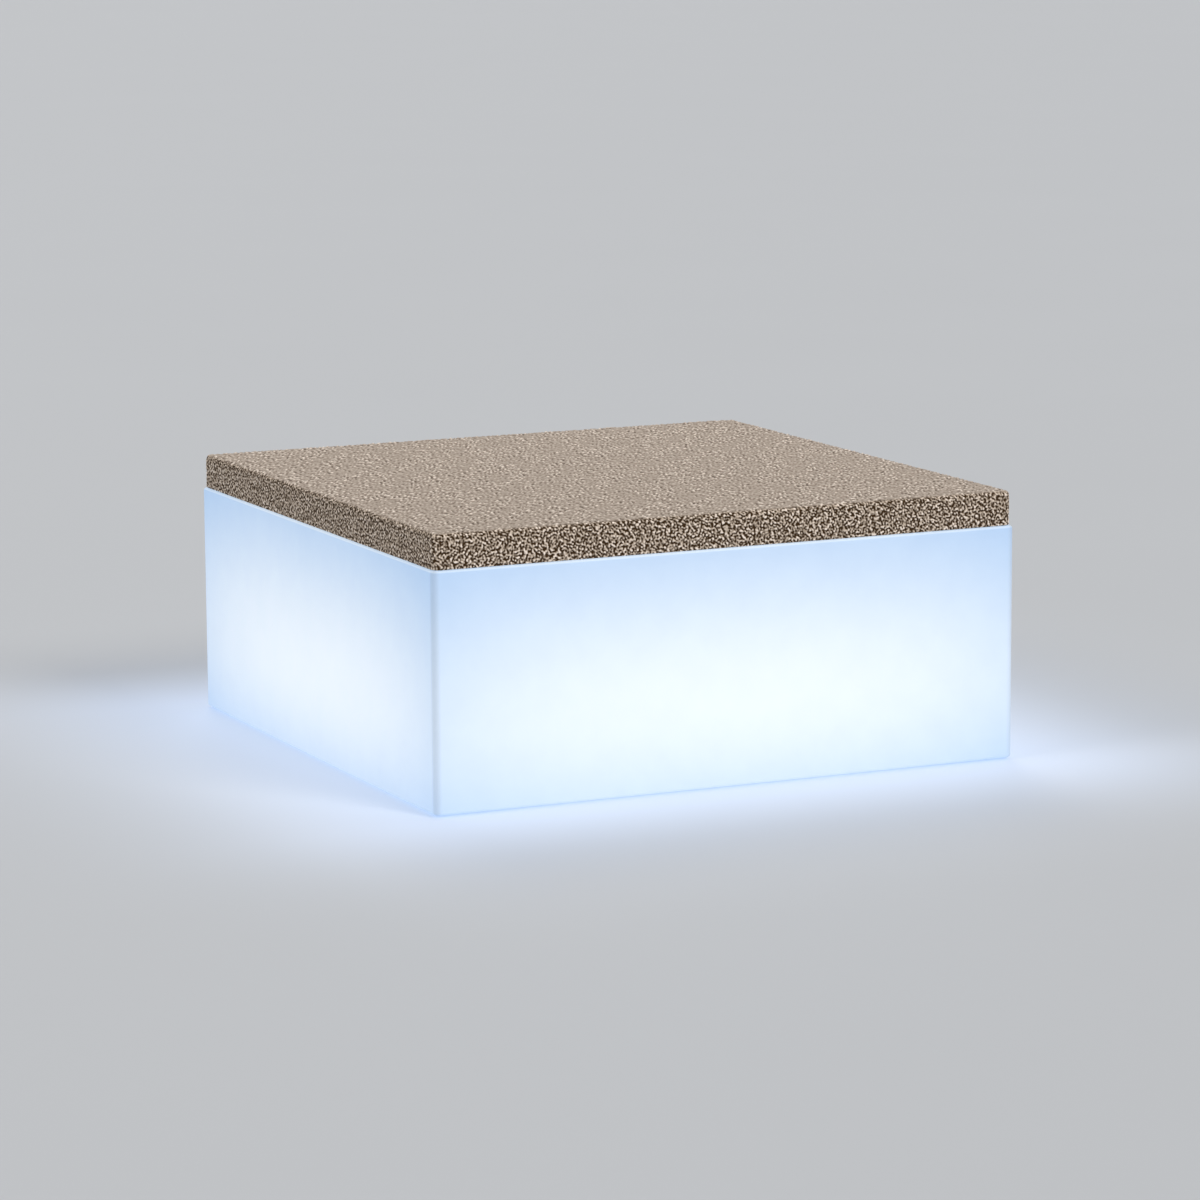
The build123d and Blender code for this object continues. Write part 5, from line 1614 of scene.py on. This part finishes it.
    def build_band(self) -> bpy.types.Object:
        """Band round the sides with the zip's window, whose edges are turned in to the tape.

        Returns:
            The piece.
        """
        stock = MeshStock()
        stops = self.front_stops(self.flat, self.band_step)
        plan = PadPlan(self.half, self.corner, stops, arc=12)
        profile = self.band_rows()
        is_back = plan.normals[:, 1] > FACING
        aside = np.maximum(np.abs(plan.points[:, 0]) - self.zip_half, 0.0)
        free = 1 - (1 - eased(aside, *self.zip_hold)) * is_back
        rows = []
        for inset, level, angle, down in profile:
            loops = self.side_loops.heights(plan.along, down)
            height = self.side_height(loops) + self.swell.out(plan.along, level) * free
            near = max(abs(level - self.zip_z) - self.zip_tall, 0.0)
            lip = (1 - eased(np.hypot(near, aside), *self.lip_reach)) * is_back
            height = height * (1 - lip) - self.lip_dip * lip
            if level == self.seam_z:
                height = height * self.seam_calm - self.seam_dip
            under = float(eased(np.array(angle), *self.foot_angles))
            height = height * (1 - self.foot_flat * under) - self.foot_dip * under
            points = plan.row(inset, level) + plan.outward(angle) * height[:, None]
            rows.append(stock.add_points(points, loops))
        numbers = closed(np.array(rows))
        columns = self.window_columns(plan)
        levels = np.array([level for _, level, _, _ in profile])
        open_rows = np.abs((levels[:-1] + levels[1:]) / 2 - self.zip_z) < self.zip_tall
        stock.add_sheet(numbers, ~(open_rows[:, None] & columns[None, :]))
        self.line_band(stock, plan, numbers, open_rows, columns)
        return stock.piece("boucle_band", self.materials["boucle"])

    def line_band(
        self,
        stock: MeshStock,
        plan: PadPlan,
        outer: np.ndarray,
        open_rows: np.ndarray,
        columns: np.ndarray,
    ) -> None:
        """Close the band with its inner face and the turned edges of the window.

        Args:
            stock: The band so far.
            plan: The plan that it follows.
            outer: Numbers of its outer points.
            open_rows: Which rows of faces the window takes out.
            columns: Which columns of faces the window takes out.
        """
        first, last = span(open_rows)
        left, right = span(columns)
        above, below = self.zip_z + self.zip_tall, self.zip_z - self.zip_tall
        floor = self.foot_z + self.cloth
        inside = [(self.foot_turn - self.play, floor), (self.cloth, floor)]
        inside += [(self.cloth, z) for z in (below, above, self.seam_z)]
        inner = closed(np.array([stock.add_points(plan.row(inset, z)) for inset, z in inside]))
        keep = np.ones((len(inside) - 1, len(columns)), bool)
        keep[2, columns] = False
        stock.add_sheet(inner, keep)
        stock.add_sheet(np.array([outer[-1], inner[0]]))
        stock.add_sheet(np.array([inner[-1], outer[0]]))
        rim = np.concatenate(
            [
                outer[first:last, left],
                outer[last, left:right],
                outer[first + 1 : last + 1, right][::-1],
                outer[first, left + 1 : right + 1][::-1],
            ]
        )
        border = np.concatenate(stock.points)[rim]
        side, reach = np.sign(border[:, 0]), np.abs(border[:, 0])
        rise = border[:, 2] - self.zip_z
        rings = [rim]
        lips = [(self.half - depth, share) for depth, share in self.lip_turn]
        for place, share in (*lips, (self.tape_face, 1.0), (self.tape_face, 0.05)):
            lip = share * self.zip_lip
            ring = border.copy()
            ring[:, 0] = side * np.minimum(reach, self.zip_half - lip)
            ring[:, 1] = place
            ring[:, 2] = self.zip_z + np.clip(rise, lip - self.zip_tall, self.zip_tall - lip)
            rings.append(stock.add_points(ring))
        stock.add_sheet(np.array([np.append(ring, ring[0]) for ring in rings]))
        deep, tall, wide = rings[-1], last - first, right - left
        foot_run = deep[tall : tall + wide + 1]
        head_run = np.append(deep[2 * tall + wide :], deep[0])
        stock.add_sheet(np.array([foot_run, inner[2, left : right + 1]]))
        stock.add_sheet(np.array([head_run, inner[3, left : right + 1][::-1]]))
        stock.add_face([*deep[: tall + 1], inner[2, left], inner[3, left]])
        stock.add_face([*deep[tall + wide : 2 * tall + wide + 1], inner[3, right], inner[2, right]])

    def build_base(self) -> bpy.types.Object:
        """Base cloth, a flat panel inside the turned foot of the band.

        Returns:
            The piece.
        """
        stock = MeshStock()
        fold = 1.0 * MM
        half = self.half - self.foot_turn
        stops = steps((fold - half, half - fold, self.coarse_step))
        plan = PadPlan(half, fold, stops, arc=3)
        grid = stock.add_points(plan.square(self.foot_z, self.base_sag))
        stock.add_sheet(grid)
        profile = [
            (0.0, self.foot_z + self.cloth),
            (0.0, self.foot_z + fold),
            (0.3 * fold, self.foot_z + 0.3 * fold),
        ]
        rows = [stock.add_points(plan.row(inset, z)) for inset, z in profile]
        stock.add_sheet(closed(np.array([*rows, plan.rim_numbers(grid)])))
        stock.add_face(rows[0])
        return stock.piece("base_panel", self.materials["base_cloth"])

    def base_sag(self, x: np.ndarray, y: np.ndarray) -> np.ndarray:
        """Slight waves of the base cloth, up from the body that it rests on.

        Args:
            x: Places along the front.
            y: Places to the back.

        Returns:
            How far the cloth stands above its lowest level.
        """
        waves = LoopField(size=(1.0, 1.0), pitch=70 * MM, spread=0.4, seed=47).heights(x, y)
        return self.sag * eased(waves, -1.5, 1.5)

    def build_foam(self) -> bpy.types.Object:
        """Foam slab with the groove for the zip.

        Returns:
            The piece.
        """
        stock = MeshStock()
        ease, foot = self.cloth + self.foam_ease, 1.0 * MM
        half, corner = self.half - ease, self.corner - self.cloth
        stops = self.front_stops(half - corner, self.coarse_step)
        plan = PadPlan(half, corner, stops, arc=6)
        top, low = self.top_z - ease, self.foot_z + ease
        edge = rounding(self.edge - self.cloth, count=7)
        profile = [(inset, top - down) for inset, down in edge]
        window = len(profile) + 1
        profile += [(0.0, self.zip_z + self.zip_tall), (0.0, self.zip_z - self.zip_tall)]
        profile += [(inset, low + up) for inset, up in rounding(foot, count=4)[::-1]]
        upper = stock.add_points(plan.square(top, self.swell.rise))
        lower = stock.add_points(plan.square(low))
        stock.add_sheet(upper[:, ::-1])
        stock.add_sheet(lower)
        rows = [stock.add_points(plan.row(inset, z)) for inset, z in profile]
        numbers = closed(np.array([plan.rim_numbers(upper), *rows, plan.rim_numbers(lower)]))
        columns = self.window_columns(plan)
        keep = np.ones((len(numbers) - 1, len(columns)), bool)
        keep[window, columns] = False
        stock.add_sheet(numbers, keep)
        left, right = span(columns)
        head, shelf = numbers[window, left : right + 1], numbers[window + 1, left : right + 1]
        rim = np.concatenate([shelf, head[::-1]])
        pocket = np.concatenate(stock.points)[rim]
        pocket[:, 1] = self.groove
        deep = stock.add_points(pocket)
        stock.add_sheet(np.array([np.append(rim, rim[0]), np.append(deep, deep[0])]))
        stock.add_face(deep)
        return stock.piece("foam_core", self.materials["foam"])

    def build(self) -> None:
        """Build the pad's soft pieces and tie them to the frame."""
        for piece, node, slot in (
            (self.build_foam(), "seat_foam", "foam"),
            (self.build_top(), "cover_top", "boucle"),
            (self.build_band(), "cover_band", "boucle"),
            (self.build_base(), "cover_base", "base_cloth"),
        ):
            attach(piece, "seat_pad")
            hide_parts(node)
            log.info("%s: %d faces", piece.name, len(piece.data.polygons))


@dataclass
class PadSewing:
    """What is sewn on the pad: the zip's teeth and the rows of stitches.

    Attributes:
        pad: The pad that they are on.
        stitch: Length of a stitch.
        thread: Radius of the thread.
        tooth_pitch: Distance between two teeth of one side of the zip.
        zip_margin: Distance of the stitches from the zip's window.
        base_margin: Distance of the stitches from the base panel's edge.
        tape_margin: Distance of the stitches from the loop tapes' edges.
        tape: Length and width of a loop tape.
    """

    pad: SeatPad
    stitch: float = 4.4 * MM
    thread: float = 0.3 * MM
    tooth_pitch: float = 3.0 * MM
    zip_margin: float = 2.8 * MM
    base_margin: float = 4.0 * MM
    tape_margin: float = 3.0 * MM
    tape: tuple[float, float] = (160 * MM, 50 * MM)

    def stitches(self, name: str, seam: Seam, outward: tuple[float, float, float]) -> Row:
        """A row of stitches whose ends dip into the cloth.

        Args:
            name: Name of the piece.
            seam: How they are set.
            outward: Direction in which they stand out.

        Returns:
            The row.
        """
        reach, thick = self.stitch * 0.42, self.thread
        sections = [
            (-reach, 0.35 * thick, 0.35 * thick, -1.3 * thick),
            (-0.8 * reach, 0.85 * thick, 0.85 * thick, -0.5 * thick),
            (-0.4 * reach, thick, 0.9 * thick, -0.1 * thick),
            (0.4 * reach, thick, 0.9 * thick, -0.1 * thick),
            (0.8 * reach, 0.85 * thick, 0.85 * thick, -0.5 * thick),
            (reach, 0.35 * thick, 0.35 * thick, -1.3 * thick),
        ]
        return Row(name, sections, self.stitch, seam, outward)

    def teeth(self) -> tuple[Row, list[np.ndarray]]:
        """The zip's teeth, each with a head over the middle, a neck and a foot on the tape.

        Returns:
            The row and its path.
        """
        low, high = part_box("zip_teeth")
        reach, tall = high.z - self.pad.zip_z, high.y - self.pad.tape_face
        pitch, deep = self.tooth_pitch, tall / 2 + 0.1 * MM
        sections = [
            (-0.34 * reach, 0.10 * pitch, 0.45 * deep, 0.3 * deep),
            (-0.26 * reach, 0.21 * pitch, 0.62 * deep, 0.3 * deep),
            (0.02 * reach, 0.23 * pitch, 0.68 * deep, 0.25 * deep),
            (0.24 * reach, 0.15 * pitch, 0.62 * deep, 0.2 * deep),
            (0.50 * reach, 0.17 * pitch, 0.90 * deep, 0.0),
            (0.90 * reach, 0.21 * pitch, 0.90 * deep, 0.0),
            (0.98 * reach, 0.12 * pitch, 0.60 * deep, -0.2 * deep),
        ]
        ends = [(x, high.y - 0.02 * MM - deep * 0.95, self.pad.zip_z) for x in (low.x, high.x)]
        inner = [(ends[0][0] + pitch / 2, *ends[0][1:]), (ends[1][0] - pitch / 2, *ends[1][1:])]
        return Row("zip_row", sections, pitch / 2, Seam.COMB, (0, 1, 0)), [np.array(inner)]

    def rectangle(self, low: Sequence[float], high: Sequence[float], axes: str) -> np.ndarray:
        """A closed path round a rectangle.

        Args:
            low: Its lowest corner.
            high: Its highest corner; the third part is the level of both.
            axes: "xy" for one that lies flat and "xz" for one on the back.

        Returns:
            Its corners, the first one again at the end.
        """
        turns = [(low[0], low[1]), (high[0], low[1]), (high[0], high[1]), (low[0], high[1])]
        path = [(a, b, low[2]) if axes == "xy" else (a, low[2], b) for a, b in turns + turns[:1]]
        return np.array(path)

    def paths_under(self) -> list[np.ndarray]:
        """Paths of the stitches under the pad: along its edge and round the loop tapes.

        Returns:
            The paths.
        """
        pad = self.pad
        half = pad.half - pad.foot_turn - self.base_margin
        level = pad.foot_z + 0.1 * MM
        paths = [self.rectangle((-half, -half, level), (half, half, level), "xy")]
        low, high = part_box("loop_tapes")
        long, wide = (size - 2 * self.tape_margin for size in self.tape)
        level = low.z + 0.12 * MM
        for x in (low.x + self.tape_margin, high.x - self.tape_margin - long):
            for y in (low.y + self.tape_margin, high.y - self.tape_margin - wide):
                paths.append(self.rectangle((x, y, level), (x + long, y + wide, level), "xy"))
        return paths

    def build(self) -> None:
        """Build the teeth and the stitches and tie them to the pad."""
        pad, thread = self.pad, self.pad.materials["thread"]
        teeth, line = self.teeth()
        wide, tall = pad.zip_half + self.zip_margin, pad.zip_tall + self.zip_margin
        back = self.rectangle(
            (-wide, pad.zip_z - tall, pad.half), (wide, pad.zip_z + tall, pad.half), "xz"
        )
        zip_seam = self.stitches("zip_seam", Seam.STRAIGHT, (0, 1, 0))
        under_seam = self.stitches("under_seam", Seam.ZIGZAG, (0, 0, -1))
        for row, paths, material, slot in (
            (teeth, line, pad.materials["zip_plastic"], "zip_plastic"),
            (zip_seam, [back], thread, "zip_cloth"),
            (under_seam, self.paths_under(), thread, "zip_cloth"),
        ):
            piece = row.build(paths, material)
            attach(piece, "seat_pad")
            if row is teeth:
                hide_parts("zip_teeth")
            log.info("%s: %d faces", piece.name, len(piece.data.polygons))


# Lamp unit


@dataclass
class SwitchSpring:
    """The button's return spring: a wire coil whose end turns lie flat.

    Attributes:
        material: Its finish.
        travel: How far the button presses it together; not used.
        wire: Radius of its wire.
        turns: Number of its turns, the two flat ones included.
        sides: Sides of the wire.
        turn_steps: Steps of the wire in one turn.
        flat_turns: Length of each flat end, in turns.
        flat_rise: Share of the height that each flat end takes.
    """

    material: bpy.types.Material
    travel: float = 1.5 * MM
    wire: float = 0.3 * MM
    turns: float = 6.0
    sides: int = 8
    turn_steps: int = 28
    flat_turns: float = 0.9
    flat_rise: float = 0.13

    def build(self) -> None:
        """Wind the coil."""
        low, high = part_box("switch_spring")
        centre, tall = (low + high) / 2, high.z - low.z
        radius = (high.x - low.x) / 2 - self.wire
        share = np.linspace(0, 1, int(self.turns * self.turn_steps) + 1)
        turn = share * self.turns * 2 * math.pi
        flat = self.flat_turns / self.turns
        rise = np.interp(share, (0, flat, 1 - flat, 1), (0, self.flat_rise, 1 - self.flat_rise, 1))
        level = low.z + self.wire + rise * (tall - 2 * self.wire)
        out = np.column_stack([np.cos(turn), np.sin(turn), np.zeros(len(turn))])
        line = np.array([centre.x, centre.y, 0.0]) + out * radius
        line[:, 2] = level
        stock = MeshStock()
        rings = []
        for side in np.arange(self.sides) * 2 * math.pi / self.sides:
            shift = out * math.cos(side) + np.array([0.0, 0.0, math.sin(side)])
            rings.append(line + self.wire * shift)
        numbers = stock.add_points(np.stack(rings, 1))
        stock.add_sheet(closed(numbers))
        stock.add_face(numbers[0][::-1])
        stock.add_face(numbers[-1])
        piece = stock.piece("return_spring", self.material)
        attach(piece, "base")
        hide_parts("switch_spring")
        1 - self.travel / tall
        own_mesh(piece)
        log.info("%s: %d faces", piece.name, len(piece.data.polygons))


# Studio


@dataclass
class Studio:
    """Pale floor, soft lamps and the camera.

    Attributes:
        lens, sensor: Focal length, and width of the sensor, in millimetres.
        clip: Nearest and furthest distance that the camera sees.
        place: Where the camera stands.
        yaw: Its turn about Z in degrees.
        pitch: How far it looks down in degrees.
        roll: Its turn about its own axis in degrees.
        softness: How wide each lamp looks, in degrees.
        floor: Colour of the floor and of what lies beyond it.
        pool: Light of the glowing body, painted on the floor's finish as a glowing pool at its
            foot.
        reach: Distance at which most of that light is lost.
        fall: Power of the distance with which it is lost.
        room: How strongly the room lights the object.
        floor_radius: How far the floor reaches.
        floor_sides: Number of its sides.
        lamp_away: Distance of the lamps from the middle of the floor.
    """

    lens: float = 140.3
    sensor: float = 36.0
    clip: tuple[float, float] = (0.05, 300.0)
    place: tuple[float, float, float] = (-3.1664, -6.8721, 1.5020)
    yaw: float = -24.786
    pitch: float = 9.610
    roll: float = -0.383
    softness: float = 22.0
    floor: Colour = srgb(190, 192, 195)
    pool: Colour = (0.22, 0.29, 0.43, 1.0)
    reach: float = 0.29
    fall: float = 1.6
    room: float = 0.5
    floor_radius: float = 70.0
    floor_sides: int = 96
    lamp_away: float = 6.0

    def build_camera(self) -> None:
        """Set up the camera at the photograph's angle."""
        data = bpy.data.cameras.new("camera")
        data.sensor_width, data.lens = self.sensor, self.lens
        data.clip_start, data.clip_end = self.clip
        yaw, pitch, roll = (math.radians(a) for a in (self.yaw, self.pitch, self.roll))
        right = Vector((math.cos(yaw), math.sin(yaw), 0.0))
        ahead = Vector(
            (-math.sin(yaw) * math.cos(pitch), math.cos(yaw) * math.cos(pitch), -math.sin(pitch))
        )
        up = right.cross(ahead)
        side = math.cos(roll) * right + math.sin(roll) * up
        top = math.cos(roll) * up - math.sin(roll) * right
        camera = bpy.data.objects.new("camera", data)
        camera.matrix_world = (
            (side.x, side.y, side.z, 0.0),
            (top.x, top.y, top.z, 0.0),
            (-ahead.x, -ahead.y, -ahead.z, 0.0),
            (*self.place, 1.0),
        )
        bpy.context.collection.objects.link(camera)
        bpy.context.scene.camera = camera

    def build_floor(self) -> None:
        """Lay the floor, a wide flat disc with its own finish and a painted pool of the body's
        light round its foot.
        """
        count, radius = self.floor_sides, self.floor_radius
        turn = [2 * math.pi * n / count for n in range(count)]
        mesh = bpy.data.meshes.new("floor")
        ring = [(radius * math.cos(a), radius * math.sin(a), 0.0) for a in turn]
        mesh.from_pydata(ring, [], [list(range(count))])
        tree = FinishTree("floor")
        haze = tree.noise(0.9, 3.0)
        lighter = tuple(1.04 * part for part in self.floor[:3]) + (1.0,)
        x, y, _ = tree.axes()
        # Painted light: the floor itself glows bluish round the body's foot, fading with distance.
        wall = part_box("body_shell")[1].x
        past = [tree.math("MAXIMUM", tree.math("ABSOLUTE", side) - wall) for side in (x, y)]
        away = tree.math("SQRT", past[0] * past[0] + past[1] * past[1]) * (1 / self.reach)
        fade = tree.math("EXPONENT", away**self.fall * -1.0)
        tree.set(
            Base_Color=tree.blend(haze, self.floor, lighter),
            Roughness=0.62 + haze * 0.1,
            Emission_Color=tree.blend(fade, BLACK, self.pool),
            Emission_Strength=1.0,
        )
        mesh.materials.append(tree.material)
        floor = bpy.data.objects.new("floor", mesh)
        bpy.context.collection.objects.link(floor)

    def build_world(self) -> None:
        """Light the room evenly, and show the floor's colour beyond it."""
        world = bpy.data.worlds.new("room")
        world.use_nodes = True
        tree = NodeTree(world.node_tree)
        rays = tree.add("ShaderNodeLightPath")
        seen = tree.signal(rays, "Is Camera Ray") + tree.signal(rays, "Is Glossy Ray")
        seen = seen + tree.signal(rays, "Is Transmission Ray")
        mixed = tree.add("ShaderNodeMixShader", None, {"Fac": seen})
        lights = ((WHITE, self.room), (self.floor, 1.0))
        for socket, (colour, strength) in zip(mixed.inputs[1:], lights):
            inputs = {"Color": colour, "Strength": strength}
            made = tree.add("ShaderNodeBackground", None, inputs)
            tree.tree.links.new(made.outputs[0], socket)
        output = tree.add("ShaderNodeOutputWorld")
        tree.tree.links.new(mixed.outputs[0], output.inputs["Surface"])
        bpy.context.scene.world = world

    def add_sun(self, name: str, heading: float, height: float, power: float) -> None:
        """Add one wide, soft and far lamp, which lights floor and object alike.

        Args:
            name: Its name.
            heading: Where it stands, in degrees from the X axis towards the Y axis.
            height: How high it stands above the horizon, in degrees.
            power: Its power in watts per square metre.
        """
        data = bpy.data.lights.new(name, "SUN")
        data.angle, data.energy = math.radians(self.softness), power
        lamp = bpy.data.objects.new(name, data)
        turn, rise = math.radians(heading), math.radians(height)
        away = Vector(
            (math.cos(turn) * math.cos(rise), math.sin(turn) * math.cos(rise), math.sin(rise))
        )
        lamp.location = away * self.lamp_away
        lamp.rotation_mode = "QUATERNION"
        lamp.rotation_quaternion = (-away).to_track_quat("-Z", "Y")
        bpy.context.collection.objects.link(lamp)

    def build(self) -> None:
        """Build the whole studio."""
        self.build_camera()
        self.build_floor()
        self.build_world()
        self.add_sun("key_lamp", heading=-68.0, height=36.0, power=1.35)
        self.add_sun("fill_lamp", heading=-175.0, height=40.0, power=0.5)
        self.add_sun("rear_lamp", heading=75.0, height=45.0, power=0.45)
        bpy.context.scene.view_settings.view_transform = "Standard"
        log.info("studio is set")


def main() -> None:
    """Build the scene in order."""
    logging.basicConfig(level=logging.INFO, format="%(message)s")
    Studio().build()
    materials = finishes()
    dress_nodes(materials)
    pad = SeatPad(materials)
    pad.build()
    PadSewing(pad).build()
    SwitchSpring(materials["zinc_steel"]).build()


if __name__ == "__main__":
    main()
